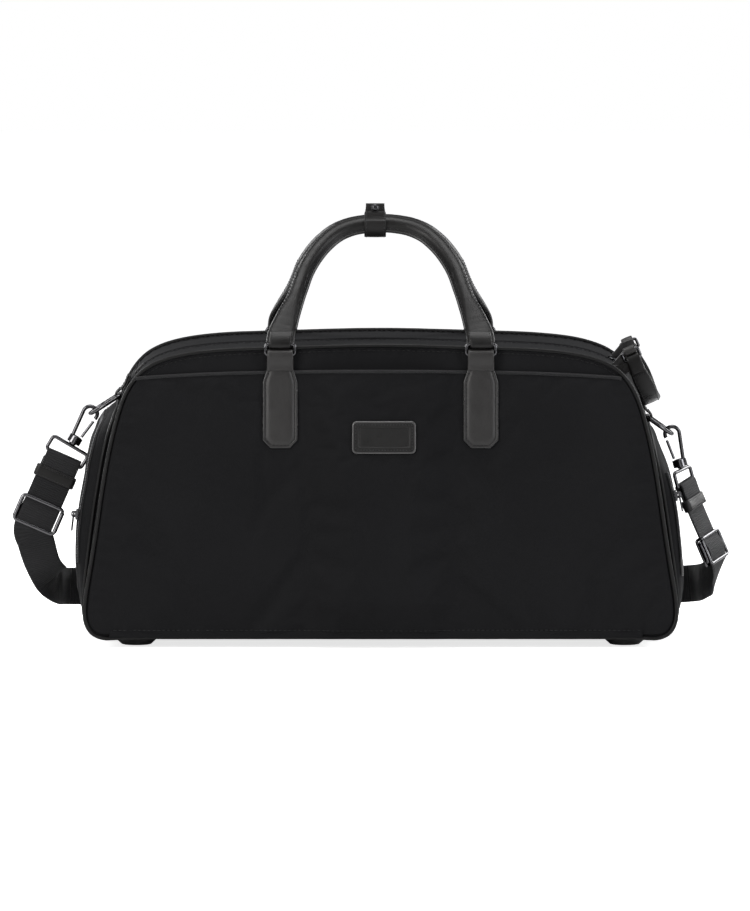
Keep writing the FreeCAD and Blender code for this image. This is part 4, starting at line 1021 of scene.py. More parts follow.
for facing, side in FACES:
    cord = smooth_path(outline_loop(1.1, facing, proud=0.3), 900, closed=True)
    wobble = np.array([0.10 * noise.noise(Vector(p * 0.08)) for p in cord])
    tube(side + "_piping_cord", cord, 1.75 + wobble, PIPING, ON_PIPING, up=(0, 1, 0),
         closed=True, sides=14, node=side + "_piping")
    row = outline_loop(-3.2, facing, proud=0.5 if facing > 0 else 0.4)
    stitches(side + "_panel_stitch", smooth_path(row, 700, closed=True),
             (0, facing * COS_LEAN, SIN_LEAN), THREAD_DARK, SEAM_STITCH, ON_SHELL, closed=True)
    wall_stitches(side + "_gusset_stitch", np.arange(S_END - 4, TOTAL - S_END + 4, 3.0), facing)
    end_run = np.arange(S_HEEL, S_END, 3.0)
    wall_stitches(side + "_end_stitch_0", end_run, facing)
    wall_stitches(side + "_end_stitch_1", TOTAL - end_run, facing)


# ================================================================= luggage sleeve
SLEEVE_NU, SLEEVE_NV = 170, 96
SLEEVE_CLEAR = 2.3                      # sleeve's distance from the panel where it lies flat
SLEEVE_STAND = 11.6                     # how much further its middle channel stands out
S_SLEEVE = s_at(233.2)                  # where the sleeve's top edge meets the outline
SLEEVE_X = outline(S_SLEEVE, -1.2)[0]   # left end of the top edge


def sleeve_grid():
    start, end = outline(2.0, -2.0), outline(TOTAL - 2.0, -2.0)
    start[1] = end[1] = 10.2

    def top(u):
        x = SLEEVE_X + (-2 * SLEEVE_X) * u
        return np.array([x, 239.6 - 6.2 * abs(x / 217.0) ** 3])
    return coons(lambda u: start + (end - start) * u, top,
                 lambda v: outline(2 + (S_SLEEVE - 2) * v, -2.0 + 0.8 * v),
                 lambda v: outline(TOTAL - 2 - (S_SLEEVE - 2) * v, -2.0 + 0.8 * v),
                 SLEEVE_NU, SLEEVE_NV)


def sleeve_cloth():
    grid = sleeve_grid()
    points = np.zeros((SLEEVE_NU, SLEEVE_NV, 3))
    for i in range(SLEEVE_NU):
        steps_in = min(i, SLEEVE_NU - 1 - i)
        for j in range(SLEEVE_NV):
            x, z = grid[i, j]
            free = (from_seam(steps_in * 2.8, reach=24.0, power=1.3)
                    * from_seam(j * 2.4, reach=24.0, power=1.3))
            wave = 0.75 * unevenness((x, z * 0.7, 3), scale=95.0, seed=21)
            wave += 0.30 * unevenness((x, z, 8), scale=30.0, seed=25, octaves=2)
            out = SLEEVE_STAND * (1 - float(smoothstep(34.0, 70.0, abs(x))))
            out += free * (wave + 0.5)
            out = SLEEVE_CLEAR + out * (0.35 + 0.65 * min(1.0, j / 14.0))
            if steps_in < 9:
                out += pucker(z, 0.22, 10.5, 2.0) * bell(steps_in * 2.8, middle=7, width=7.0)
            points[i, j] = panel_point(x, out, rise_at(z))
    from_middle, z = np.abs(grid[..., 0]), grid[..., 1]
    pins = border_pins(SLEEVE_NU, SLEEVE_NV)
    pins[(np.abs(from_middle - TAB_X) < 15.5) & (z > 168)] = 1                  # under the tabs
    pins[(np.abs(grid[..., 0] - PATCH_X) < 28) & (np.abs(z - 183) < 15)] = 1    # under the patch
    pins[np.abs(from_middle - 62) < 2] = 0.6
    points = settle_cloth("sleeve", points, pins, pressure=1.6, limit=2.2)
    # keep the cloth clear of the shell behind it
    out = -(points[..., 1] + HALF_DEPTH) + (points[..., 2] - SEAM_Z) * TAN_LEAN
    points[..., 1] -= np.maximum(0, 1.9 - out)
    sheet("sleeve_cloth", points, 1.3, NYLON_FLAT, grid, (0, 1, 0), ON_SHELL,
          node="trolley_sleeve")
    return points


PATCH_X = 3.0
SLEEVE = sleeve_cloth()


def on_sleeve(x, z, lift=0.0):
    """Point on the sleeve's outer face at x, z, averaged over its nearest grid points."""
    gap = (SLEEVE[..., 0] - x) ** 2 + (SLEEVE[..., 2] - z) ** 2
    i, j = np.unravel_index(np.argmin(gap), gap.shape)
    near = (slice(max(i - 1, 0), i + 2), slice(max(j - 1, 0), j + 2))
    weight = 1.0 / (gap[near] + 0.4)
    y = float((SLEEVE[..., 1][near] * weight).sum() / weight.sum())
    return np.array([x, y - lift, z])


# section of the folded tape over the top edge: (up from the edge, out), before scaling
FOLD = [(-3.4, 0.9), (-3.2, 1.2), (-1.6, 1.3), (0.4, 1.3), (1.5, 0.9), (1.9, 0.0), (1.6, -1.0),
        (0.5, -1.6), (-1.6, -1.9), (-3.2, -1.8), (-3.4, -1.4), (-3.0, -0.9), (0.6, -0.7),
        (1.0, 0.0), (0.6, 0.5), (-3.0, 0.55)]


def sleeve_trim():
    """Bound top edge, then the hem with its stitches and tape."""
    rim = np.array([SLEEVE[round(q / 259 * (SLEEVE_NU - 1)), -1] for q in range(0, 260, 4)])
    ends = [rim[0] + (-4.6, -0.1, -0.9)], [rim[-1] + (4.6, -0.1, -0.9)]
    rim = smooth_path(np.vstack([ends[0], rim, ends[1]]), 260)
    forward = tangents(rim)
    upward = np.cross(forward, REAR_NORMAL)
    upward = upward * np.sign(upward[:, 2:3])
    normals = np.cross(forward, upward)
    normals = normals * np.sign(-normals[:, 1:2])
    fold = [(a * 0.58 + 0.5, b * 0.9) for a, b in FOLD]
    sweep("sleeve_edge_tape", rim - normals * 0.3, upward, normals, fold, BINDING, ON_BINDING,
          node="sleeve_binding")
    stitches("sleeve_edge_stitch", rim - upward * 0.8 + normals * 0.9, normals, THREAD_DARK,
             (2.4, 1.0, 0.28), ON_BINDING)
    hem = [on_sleeve(x, 15.2, 0.05) for x in np.linspace(-232, 232, 150)[::3]]
    stitches("sleeve_hem_stitch", smooth_path(hem, 300), REAR_NORMAL, THREAD_DARK,
             (3.0, 1.2, 0.34), ON_SHELL)
    hem = [on_sleeve(x, 11.8) for x in np.linspace(-235, 235, 120)[::3]]
    ribbon("sleeve_hem_tape", smooth_path(hem, 200), (0, SIN_LEAN, COS_LEAN), REAR_NORMAL,
           (6.0, 1.0, 0.15), NYLON_FLAT, ON_BINDING)


sleeve_trim()

# ================================================================= identity patch
PATCH_Z = SEAM_Z + 175.2 * COS_LEAN
PATCH_Y = on_sleeve(PATCH_X, PATCH_Z)[1]


def patch_point(x, y, height):
    back = PATCH_Y + y * SIN_LEAN + 0.0006 * x * x
    return np.array([PATCH_X + x, back - (height + 0.35) * COS_LEAN,
                     PATCH_Z + y * COS_LEAN + height * SIN_LEAN])


# plate rows are (inset from the edge, height)
PATCH_ROWS = [(0.6, -0.3), (0.15, 0.0), (0.0, 0.5), (0.0, 1.4), (0.2, 1.9), (0.6, 2.2),
              (1.1, 2.25), (1.6, 2.1), (2.6, 2.05), (4.6, 2.0), (5.4, 1.9), (5.8, 1.55),
              (6.1, 1.25), (6.4, 1.2), (9, 1.2), (11.5, 1.2)]
INSERT_ROWS = [(0.2, 0.9), (0.0, 1.1), (0.0, 1.35), (0.35, 1.6), (1.2, 1.62), (4, 1.62),
               (7.6, 1.62)]
patch_loop = resample_loop(rounded_rect(55.4, 28.4, 4.2), 0.8)
plate("patch_body", patch_loop, PATCH_ROWS, patch_point, [PATCH, PATCH_RIM_PAINTED_HIGHLIGHT], ON_PATCH,
      rim_rows=7, node="id_patch_backing")
plate("patch_blank", resample_loop(rounded_rect(42.6, 17.0, 1.4), 0.8), INSERT_ROWS, patch_point,
      PATCH, ON_PATCH, reach=1.0, node="id_patch_insert")
stitches("patch_stitch", [patch_point(x, y, 2.0) for x, y in inset_loop(patch_loop, 3.3)],
         REAR_NORMAL, THREAD, (1.8, 0.8, 0.24), ON_PATCH, closed=True)

# ================================================================= handle tabs
# right half of the tab: (across, rise up the panel, corner radius)
TAB_HALF = [(8.4, 164.6, 2), (15.2, 171.6, 2), (15.2, 222.0, 3), (13.6, 227.0, 5),
            (11.7, 233.0, 3), (11.7, 241.5, 3)]
TAB_ROWS = [(0.9, -0.9), (0.2, -0.5), (0.0, 0.0), (0.0, 0.9), (0.25, 1.5), (0.8, 1.85),
            (1.4, 1.85), (2.0, 1.55), (2.7, 1.45), (3.3, 1.6), (4.0, 2.05), (5.0, 2.4),
            (6.5, 2.55), (8.0, 2.6), (9.2, 2.6)]
# the neck folds up and over the lower bar of the ring: (out, rise)
TAB_NECK = [(5.2, 232), (5.9, 237), (7.4, 241.5), (7.9, 245.5), (6.9, 248.2), (4.4, 249.2),
            (1.9, 248.2), (0.9, 245.5), (1.0, 240), (1.2, 234)]


def tab(facing, centre_x, name, node):
    mirror = np.array([1, -facing, 1])

    def place(x, y, height):
        return mirror * panel_point(centre_x + x, 3.0 + height, y)
    right = [(x, y) for x, y, _ in TAB_HALF]
    left = mirrored(right)
    radii = [2] + [r for _, _, r in TAB_HALF] + [r for _, _, r in reversed(TAB_HALF[1:])]
    loop = resample_loop(round_poly(left[-1:] + right + left[:-1], radii), 1.0)
    plate(name, loop, TAB_ROWS, place, [LEATHER_TAB, EDGE], ON_LEATHER, rim_rows=6, top=236.5,
          relax=12, node=node)
    sewn = left[-1:] + right[:-1] + [(11.7, 238), (-11.7, 238)] + left[1:-1]
    sewn = inset_loop(resample_loop(round_poly(sewn, 2), 1.0), 2.6)
    normal = mirror * REAR_NORMAL
    stitches(name + "_stitch", [place(x, y, 1.5) for x, y in sewn], normal, THREAD_DARK,
             (2.3, 0.95, 0.34), ON_LEATHER, closed=True)
    stitches(name + "_bar_tack", [place(x, 226.0, 2.3) for x in np.linspace(-9.5, 9.5, 12)],
             normal, THREAD, (1.9, 0.6, 0.32), ON_LEATHER)
    neck = [mirror * panel_point(centre_x, out, rise) for out, rise in TAB_NECK]
    path = smooth_path(neck, 46)
    waist = 1.0 - 0.015 * np.exp(-((np.arange(46) / 46 - 0.5) / 0.16) ** 2)
    ribbon(name + "_loop", path, X_AXIS, np.cross(X_AXIS, tangents(path)) * facing,
           (23.0, 2.4, 0.35), LEATHER_TAB, ON_LEATHER, widths=waist)


for facing, side in FACES:
    for sign, end in SIDES:
        tab(facing, sign * TAB_X, "%s_tab_%s_leather" % (side, end), "%s_tab_%s" % (side, end))

# ================================================================= handles
# left half of the arch: (x, share of the rise)
ARCH_LEFT = [(-TAB_X, 0.0), (-86.2, 0.08), (-83.6, 0.16), (-80.2, 0.25), (-76.4, 0.34),
             (-72.2, 0.45), (-66.5, 0.60), (-59.6, 0.715), (-50.8, 0.82), (-39.4, 0.912),
             (-26.4, 0.968), (-13.0, 0.993)]
GRIP_FOOT = np.array([-97.024, 262.281])        # (y, z) of the rear arch at its feet
GRIP_TOP = np.array([-10.6, 361.0])
GRIP_RISE = GRIP_TOP - GRIP_FOOT
SLOPE = unit([0, *GRIP_RISE])
PLANE_OUT = np.cross(X_AXIS, SLOPE)             # square to the arch's plane, to the outside


def grip_point(x, share):
    return np.array([x, *(GRIP_FOOT + GRIP_RISE * share)])


GRIP = smooth_path([grip_point(*p) for p in ARCH_LEFT + [(0.0, 1.0)] + mirrored(ARCH_LEFT)], 260)
GRIP_OUT = np.cross(PLANE_OUT, tangents(GRIP))  # in the plane, to the outer side of the arch
if np.dot(GRIP_OUT[130], SLOPE) < 0:
    GRIP_OUT = -GRIP_OUT
# loop round the ring bar: (across the plane, up the slope)
BAR_LOOP = [(-4.0, 10.5), (-4.4, 5.5), (-3.7, 1.2), (-2.3, -1.9), (0.0, -2.9), (2.3, -1.9),
            (3.7, 1.2), (4.4, 5.5), (4.0, 10.5)]


def handle(facing, side):
    """Grip that goes from flat feet to a round top, with a seam flange along its inside."""
    mirror = np.array([1, -facing, 1])
    host = (side + "_grip", "handle_leather")
    thread_size = (2.4, 1.0, 0.32)
    roundness = smoothstep(0.02, 0.44, (GRIP[:, 2] - GRIP_FOOT[1]) / GRIP_RISE[1])

    def blend(foot, top):
        return (top * roundness + foot * (1 - roundness))[:, None]

    sides = 28
    half_width, half_thick = blend(12.2, 7.0)[:, 0], blend(3.3, 7.0)[:, 0]
    dist = run_length(GRIP)
    verts, uv = [], []
    for i, t in enumerate(roundness):
        flange = 1.8 * t
        wrinkle = 0.12 * noise.noise(Vector((dist[i] * 0.35, 0.2, 1.1)))
        power = 0.72 if t < 0.5 else 0.72 + (t - 0.5) * 0.5
        for j in range(sides):
            a = 2 * math.pi * j / sides
            ca, sa = math.cos(a), math.sin(a)
            x = math.copysign(abs(ca) ** power, ca) * half_width[i]
            y = math.copysign(abs(sa) ** power, sa) * half_thick[i]
            if ca < -0.86:
                x -= flange * (-ca - 0.86) / 0.14
                y *= 0.62
            verts.append(GRIP[i] + GRIP_OUT[i] * (x + wrinkle) + PLANE_OUT * (y + wrinkle))
            uv.append((dist[i], j * 1.7))
    fix_normals(add_mesh(side + "_grip_leather", mirror * np.array(verts),
                         ring_faces(len(GRIP), sides), LEATHER, host, node=side + "_handle",
                         uv=uv))
    for k, w in enumerate((-1, 1)):     # the two painted edges of the flange
        edge = mirror * (GRIP - GRIP_OUT * blend(12.1, 8.3) + PLANE_OUT * (w * 0.55))
        tube("%s_grip_edge_%d" % (side, k), edge[14:-14], 0.85, EDGE, host, up=(0, 1, 0), sides=8)
    for w, mark in ((-1, "b"), (1, "f")):
        normal = mirror * PLANE_OUT * w
        inner = mirror * (GRIP - GRIP_OUT * blend(10.3, 7.0) + PLANE_OUT * w * blend(2.75, 2.2))
        outer = mirror * (GRIP + GRIP_OUT * blend(10.2, 5.9) + PLANE_OUT * w * blend(2.8, 4.6))
        stitches("%s_grip_stitch_in_%s" % (side, mark), inner[18:-18], normal, THREAD,
                 thread_size, host, lift=0.2)
        for part, row in (("l", outer[8:62]), ("r", outer[-62:-8])):
            stitches("%s_grip_stitch_%s_%s" % (side, part, mark), row, normal, THREAD,
                     (2.4, 1.0, 0.34), host, lift=0.2)
    for sign, end in SIDES:
        foot = grip_point(sign * TAB_X, 0.0)
        climb = SLOPE + np.array([-sign * 0.14, 0, 0])
        path = smooth_path([foot + PLANE_OUT * a * 0.9 + climb * b for a, b in BAR_LOOP], 44)
        normals = normals_toward(path, X_AXIS, 22, -SLOPE)
        ribbon("%s_grip_end_%s" % (side, end), mirror * path, X_AXIS, mirror * normals,
               (19.0, 2.0, 0.3), LEATHER, host)


for facing, side in FACES:
    handle(facing, side)

# ================================================================= snap wraps on the grips
# domed cap with a rolled rim: (radius, height)
CAP_PROFILE = [(0.0, 1.45), (0.9, 1.42), (1.8, 1.28), (2.5, 1.0), (2.85, 0.62), (2.95, 0.35),
               (3.1, 0.45), (3.35, 0.5), (3.5, 0.3), (3.5, -0.2), (3.0, -0.4)]


def wrap(facing, side):
    """Leather band round the grip whose two ends stand up together and snap."""
    mirror = np.array([1, -facing, 1])
    host = (side + "_grip", "handle_leather")
    width, tongue_y, tongue_top, cap_z = 19.0, -1.6, 378.0, 374.4
    centre = GRIP[int(np.argmin(np.abs(GRIP[:, 0] + 5.0)))]
    opening = math.radians(38)
    ring = []
    for k in range(3, 56, 3):
        a = math.pi / 2 - opening * 0.5 - (2 * math.pi - opening) * k / 64
        reach_z = 8.5 if math.sin(a) > 0 else 10.9
        ring.append(centre + np.array([0, math.cos(a) * 8.5, math.sin(a) * reach_z]))
    start = [(centre[0], tongue_y + 0.7, z) for z in (tongue_top, 374.5, 371.2)]
    end = [(centre[0], tongue_y - 0.9, z) for z in (370.6, 374.5, tongue_top - 0.3)]
    path = smooth_path(np.vstack([start, ring, end]), 110)
    path[:, 1] = np.minimum(path[:, 1], -0.9)
    normals = normals_toward(path, X_AXIS, 55, path[55] - centre)
    share = np.linspace(0, 1, len(path))
    taper = 0.86 + 0.14 * smoothstep(0.02, 0.16, np.minimum(share, 1 - share))
    ribbon(side + "_wrap_leather", mirror * path, X_AXIS, mirror * normals, (width, 1.5, 0.2),
           LEATHER_DARK, host, widths=taper, node=side + "_handle_wrap")
    for e, mark in ((-1, "a"), (1, "b")):
        row = path + X_AXIS * e * (width / 2 * taper - 1.9)[:, None] + normals * 0.85
        stitches("%s_wrap_stitch_%s" % (side, mark), (mirror * row)[4:-4],
                 (mirror * normals)[4:-4], THREAD, (2.0, 0.9, 0.27), host)
    verts = []
    for r, h in CAP_PROFILE:
        for q in range(40):
            a, r = 2 * math.pi * q / 40, max(r, 0.01)
            verts.append((centre[0] + math.cos(a) * r, tongue_y - 1.7 - h,
                          cap_z + math.sin(a) * r))
    fix_normals(add_mesh(side + "_snap_button", mirror * np.array(verts),
                         ring_faces(len(CAP_PROFILE), 40), METAL_ZIP,
                         (side + "_grip", "polished_metal"), node=side + "_snap_cap"))


for facing, side in FACES:
    wrap(facing, side)

# ================================================================= main zipper
ZIP_RADIUS, ZIP_CENTRE_Z = 1031.891, -775.891   # the chain follows a wide arc over the top
STOP_ROWS = [(0.4, -0.6), (0, 0), (0, 1.1), (0.35, 1.5), (1.0, 1.5), (1.7, 1.3), (2.6, 1.45),
             (3.6, 1.6), (4.6, 1.7)]


def zip_arc(x_from, x_to):
    """Path and normals of the arc between two places in X."""
    x = np.linspace(x_from, x_to, 240)
    z = np.sqrt(ZIP_RADIUS ** 2 - x ** 2)
    flat = np.zeros_like(x)
    return np.stack([x, flat, ZIP_CENTRE_Z + z], 1), np.stack([x, flat, z], 1) / ZIP_RADIUS


def main_zip():
    chain, chain_normals = zip_arc(-196, 196)
    # the tape runs on past the teeth to where the slider parks when closed
    tape, normals = zip_arc(-205.5, 196)
    for facing, side in FACES:
        ribbon("zip_tape_" + side, tape + Y_AXIS * facing * 9.6 + normals * 0.4, Y_AXIS, normals,
               (16.4, 0.9, 0.1), TAPE, ON_TAPE, node="top_zipper_tape" if facing < 0 else None)
    teeth("zip_teeth_row", chain, chain_normals, ON_TEETH, pitch=1.55, across=3.1, along=0.95,
          high=1.9, lift=0.3, node="top_zipper_chain")
    lengths = np.arange(S_END - 2, TOTAL - S_END + 2, 3.0)
    for facing, side in FACES:
        tube("zip_cord_" + side, tape + Y_AXIS * facing * 2.7 + normals * 0.95, 0.55, TAPE,
             ON_TAPE, sides=8)
        row = [wall_point(s, facing * 9.6, 0.35) - (0, 0, 0.15) for s in lengths]
        stitches("zip_lip_stitch_" + side, row, [wall_normal(s) for s in lengths], THREAD,
                 (2.8, 1.1, 0.32), ON_SHELL)
        lip = [wall_point(s, facing * 6.7, -0.4) for s in lengths[::4]]
        tube("zip_lip_fold_" + side, smooth_path(lip, 300), 1.15, NYLON, ON_SHELL)


def zip_end(sign, side, end_x):
    """The gusset halves meet past the end of the zip under a stitched leather stop."""
    s_zip = float(np.interp(end_x, OUTLINE[:, 0], ARC))
    s_end = S_END if sign < 0 else TOTAL - S_END
    reach_y = 9.2
    points = np.array([[wall_point(s, y, -0.7 + 0.25 * math.cos(y / reach_y * math.pi))
                        for y in np.linspace(-reach_y, reach_y, 16)]
                       for s in np.linspace(min(s_zip, s_end) - 1.0, max(s_zip, s_end) + 1.0, 24)])
    sheet("zip_end_cloth_" + side, points, 1.6, NYLON, points[..., :2], (0, 0, -1), ON_SHELL)
    s_stop = s_zip + sign * 7.0
    loop = resample_loop(rounded_rect(11.0, 19.0, 3.0), 0.8)

    def place(x, y, height):
        return wall_point(s_stop + x, y, height + 0.1)
    plate("zip_stop_" + side, loop, STOP_ROWS, place, [LEATHER_DARK, LEATHER_DARK], ON_LEATHER,
          rim_rows=4)
    stitches("zip_stop_stitch_" + side, [place(x, y, 1.35) for x, y in inset_loop(loop, 2.0)],
             wall_normal(s_stop), THREAD, (1.8, 0.8, 0.25), ON_LEATHER, closed=True)
    # seam between the top gusset and the end panel: a folded ridge with two stitch rows
    reach_y = half_depth(float(outline(s_end)[1])) - 1.5
    for shift, kind in ((0.0, "ridge"), (4.2, "row_a"), (-4.2, "row_b")):
        s, name = s_end + shift, "end_seam_%s_%s" % (side, kind)
        row = np.array([wall_point(s, y, 0.45) for y in np.linspace(-reach_y, reach_y, 80)])
        normal = wall_normal(s)
        if kind == "ridge":
            wobble = [0.12 * noise.noise(Vector((y * 0.09, sign, 0.0))) for y in row[:, 1]]
            tube(name, row - normal * 0.2, 1.0 + np.array(wobble), NYLON, ON_SHELL, up=normal)
        else:
            stitches(name, row, normal, THREAD_DARK, (2.9, 1.2, 0.3), ON_SHELL)


main_zip()
zip_end(-1, "left", -204.8)
zip_end(1, "right", 204.5)

# ================================================================= end pockets
# side view of the pockets' outer faces: (distance from the bag's middle, height)
LEFT_PROFILE = [(231.5, 203.5), (236, 200.5), (241, 193), (246.5, 183), (250, 172), (253, 160),
                (256, 140), (259.4, 122), (261.5, 105), (262.6, 88), (262.2, 60), (260.8, 38),
                (258, 25), (255.5, 20)]
RIGHT_PROFILE = [(231.5, 184.2), (236.5, 184), (239.5, 178.5), (242.5, 166), (248.5, 148),
                 (252.5, 133), (255.5, 118), (258.5, 95), (260.2, 75), (261.2, 55), (260.6, 38),
                 (258, 25), (255.5, 20)]
POCKET_HALF, POCKET_CORNER, POCKET_FLOOR = 86.0, 44.0, 23.0     # half width, radius, lowest z
CORNER_Y = POCKET_HALF - POCKET_CORNER
ZIP_Y = 72.0                            # upright runs of the pocket zips
flank_z = np.linspace(9.5, 250, 500)
flank_x = np.array([-float(outline(s_at(z))[0]) for z in flank_z])


class Pocket:
    """Domed pocket on one end of the bag; call it with (y, z) for a point of its face."""

    def __init__(self, sign, profile, top, seed):
        self.sign, self.top, self.seed = sign, top, seed
        self.corner_z = top - POCKET_CORNER
        curve = smooth_path(profile, 200)
        self.profile_x, self.profile_z = curve[np.argsort(curve[:, 1])].T

    def half_width(self, z):
        above = z - self.corner_z
        if above <= 0:
            return POCKET_HALF
        return CORNER_Y + math.sqrt(max(POCKET_CORNER * POCKET_CORNER - above * above, 0.0))

    def edge_distance(self, y, z):
        if abs(y) > CORNER_Y and z > self.corner_z:
            return POCKET_CORNER - math.hypot(abs(y) - CORNER_Y, z - self.corner_z)
        return min(POCKET_HALF - abs(y), self.top - z, (z - POCKET_FLOOR) * 2.2)

    def __call__(self, y, z, lift=0.0):
        edge = self.edge_distance(y, z)
        q = min(max(edge / 17.0, 0), 1)
        full = math.sqrt(max(1 - (1 - q) ** 2.3, 0))
        wall = float(np.interp(min(max(z, 9.5), 250), flank_z, flank_x)) + 0.4
        face = float(np.interp(z, self.profile_z, self.profile_x)) + 0.3
        wave = q * 0.55 * unevenness((self.sign * 30, y, z), scale=52.0, seed=self.seed)
        groove = -0.7 * bell(edge, middle=14, width=3.2) if self.sign < 0 else 0.0
        x = wall + max(face - wall, 0.5) * full + wave + groove + 0.2
        return np.array([self.sign * (x + lift), y, z])

    def normal(self, y, z):
        step = 0.8
        a = self(y + step, z) - self(y - step, z)
        b = self(y, min(z + step, self.top - 0.01)) - self(y, z - step)
        n = unit(np.cross(a, b))
        return n * (1 if n[0] * self.sign > 0 else -1)

    def corner(self, inset, start, count):
        """(y, z) round the upper corner on the -Y side, from the upright to the top."""
        r = POCKET_CORNER - inset
        return [(-CORNER_Y - r * math.cos(a), self.corner_z + r * math.sin(a))
                for a in np.linspace(start, math.pi / 2, count)]


def pocket_cloth(pocket, side):
    rows, cols = 96, 84
    points, uv, pins = np.zeros((rows, cols, 3)), np.zeros((rows, cols, 2)), np.zeros((rows, cols))
    for i, t in enumerate(1 - (1 - np.linspace(0, 1, rows)) ** 1.7):
        z = POCKET_FLOOR + (pocket.top - 0.05 - POCKET_FLOOR) * t
        half = pocket.half_width(z)
        for j, v in enumerate(np.linspace(-1, 1, cols)):
            y = half * math.copysign(abs(v) ** 0.85, v)
            points[i, j] = pocket(y, z)
            uv[i, j] = (y, z)
            pins[i, j] = pocket.edge_distance(y, z) < 16.5
    if pocket.sign > 0:
        pins[np.abs(points[..., 1] + ZIP_Y) < 6] = 1
    points = settle_cloth(side + "_pocket", points, pins, pressure=3.0, limit=2.0)
    sheet(side + "_pocket_cloth", points, 1.8, NYLON, uv, (-pocket.sign, 0, 0), ON_SHELL,
          node=side + "_pocket")


def pocket_piping(pocket, side):
    upright = [(-POCKET_HALF + 0.5, z) for z in np.linspace(POCKET_FLOOR + 3, pocket.corner_z, 40)]
    bend = upright + pocket.corner(0.5, start=0.04, count=16)
    top = [(y, pocket.top - 0.5) for y in np.linspace(-CORNER_Y + 2, CORNER_Y - 2, 20)]
    cord = [pocket(y, z, 0.9) for y, z in bend + top + mirrored(bend)]
    tube(side + "_pocket_piping", smooth_path(cord, 260), 1.6, PIPING, ON_PIPING, up=(0, 1, 0))


def pocket_zip(pocket, side):
    """An arch on the left pocket, a single upright run on the right one."""
    if pocket.sign < 0:
        arch = [(-ZIP_Y, z) for z in np.linspace(70, pocket.corner_z, 24)]
        arch += pocket.corner(14, start=0.06, count=14)
        arch += [(y, pocket.top - 14) for y in np.linspace(-CORNER_Y + 3, 0, 8)]
        run = smooth_path(arch + mirrored(arch[:-1]), 240)
    else:
        run = smooth_path([(-ZIP_Y, z) for z in np.linspace(74, 149, 20)], 90)
    path = np.array([pocket(y, z) for y, z in run])
    normals = np.array([pocket.normal(y, z) for y, z in run])
    across = np.cross(normals, tangents(path))
    ribbon(side + "_pocket_tape", path + normals * 0.35, across, normals, (12.0, 0.8, 0.0), TAPE,
           ON_TAPE, node=side + "_pocket_zipper")
    teeth(side + "_pocket_teeth", path, normals, ON_TEETH, pitch=1.45, across=2.2, along=0.9,
          high=0.95, lift=0.6)
    for e, mark in ((-1, "a"), (1, "b")):
        tube("%s_pocket_lip_%s" % (side, mark), path + across * e * 4.6 + normals * 0.35, 1.05,
             NYLON, ON_SHELL)
        stitches("%s_pocket_stitch_%s" % (side, mark), path + across * e * 7.6 + normals * 0.1,
                 normals, THREAD_DARK, (2.6, 1.1, 0.3), ON_SHELL)


def pocket_zip_tab(pocket):
    """Leather tab at the lower end of the right pocket's zip."""
    y0, z0 = -ZIP_Y, 67.0
    rows = [(0.4, -0.4), (0, 0), (0, 1.2), (0.4, 1.7), (1.0, 1.7), (1.6, 1.45), (2.2, 1.6),
            (3.6, 1.8), (5.2, 1.85)]
    normal = pocket.normal(y0, z0)
    plate("right_zip_end_tab", resample_loop(rounded_rect(12.0, 17.0, 3.0), 0.8), rows,
          lambda x, y, height: pocket(y0 + x, z0 + y) + normal * (height + 0.2),
          [LEATHER_TAB, EDGE], ON_LEATHER, rim_rows=4)


POCKETS = {"left": Pocket(-1, LEFT_PROFILE, top=203.8, seed=31.0),
           "right": Pocket(1, RIGHT_PROFILE, top=184.2, seed=47.0)}
for side, pocket in POCKETS.items():
    pocket_cloth(pocket, side)
    pocket_piping(pocket, side)
    pocket_zip(pocket, side)
pocket_zip_tab(POCKETS["right"])

# ================================================================= end grab handle
# local frame on the right shoulder of the bag, tilted about Y
GRAB_X, GRAB_Z, GRAB_TILT = 219.5, 246.0, math.radians(23.5)
GRAB_COS, GRAB_SIN = math.cos(GRAB_TILT), math.sin(GRAB_TILT)
GRAB_ACROSS = np.array([GRAB_COS, 0, GRAB_SIN])
# -Y end of the strap round its ring, then the hanging curve to the middle: (y, z)
GRAB_END = [(-54.6, -12.5), (-55.0, -6.0), (-54.7, -0.5), (-53.6, 2.2), (-51.8, 2.9),
            (-50.2, 2.0), (-49.7, -1.0)]
GRAB_HANG = [(-.985, -.30), (-.90, -.62), (-.70, -.85), (-.40, -.97), (0, -1)]  # unit shape
# tab sewn into the end seam beside the ring: local (x, z), and the corner radii
FIN = [(-22, 2.0), (-15, -12.0), (1.5, -5.0), (5.2, 3.0), (5.4, 9.0), (-5.0, 9.6), (-15, 4.6)]
FIN_RADII = [1, 1, 3, 3, 2.4, 3, 3]
FIN_ROWS = [(0.5, 0.0), (0.1, 0.2), (0, 0.6), (0, 2.0), (0.1, 2.4), (0.5, 2.6), (1.2, 2.6),
            (1.9, 2.4), (3.0, 2.55), (5, 2.75), (8, 2.8)]
# narrow loop that holds the ring's upper bar: (y from the ring, z)
FIN_LOOP = [(-5.0, -3.0), (-4.9, 4.0), (-4.0, 8.4), (-2.0, 10.6), (0.4, 10.9), (2.2, 9.4),
            (2.5, 7.0), (1.0, 5.2), (-2.0, 4.8), (-4.2, 5.4)]


def grab_point(x, y, z):
    return np.array([GRAB_X + x * GRAB_COS - z * GRAB_SIN, y,
                     GRAB_Z + x * GRAB_SIN + z * GRAB_COS])


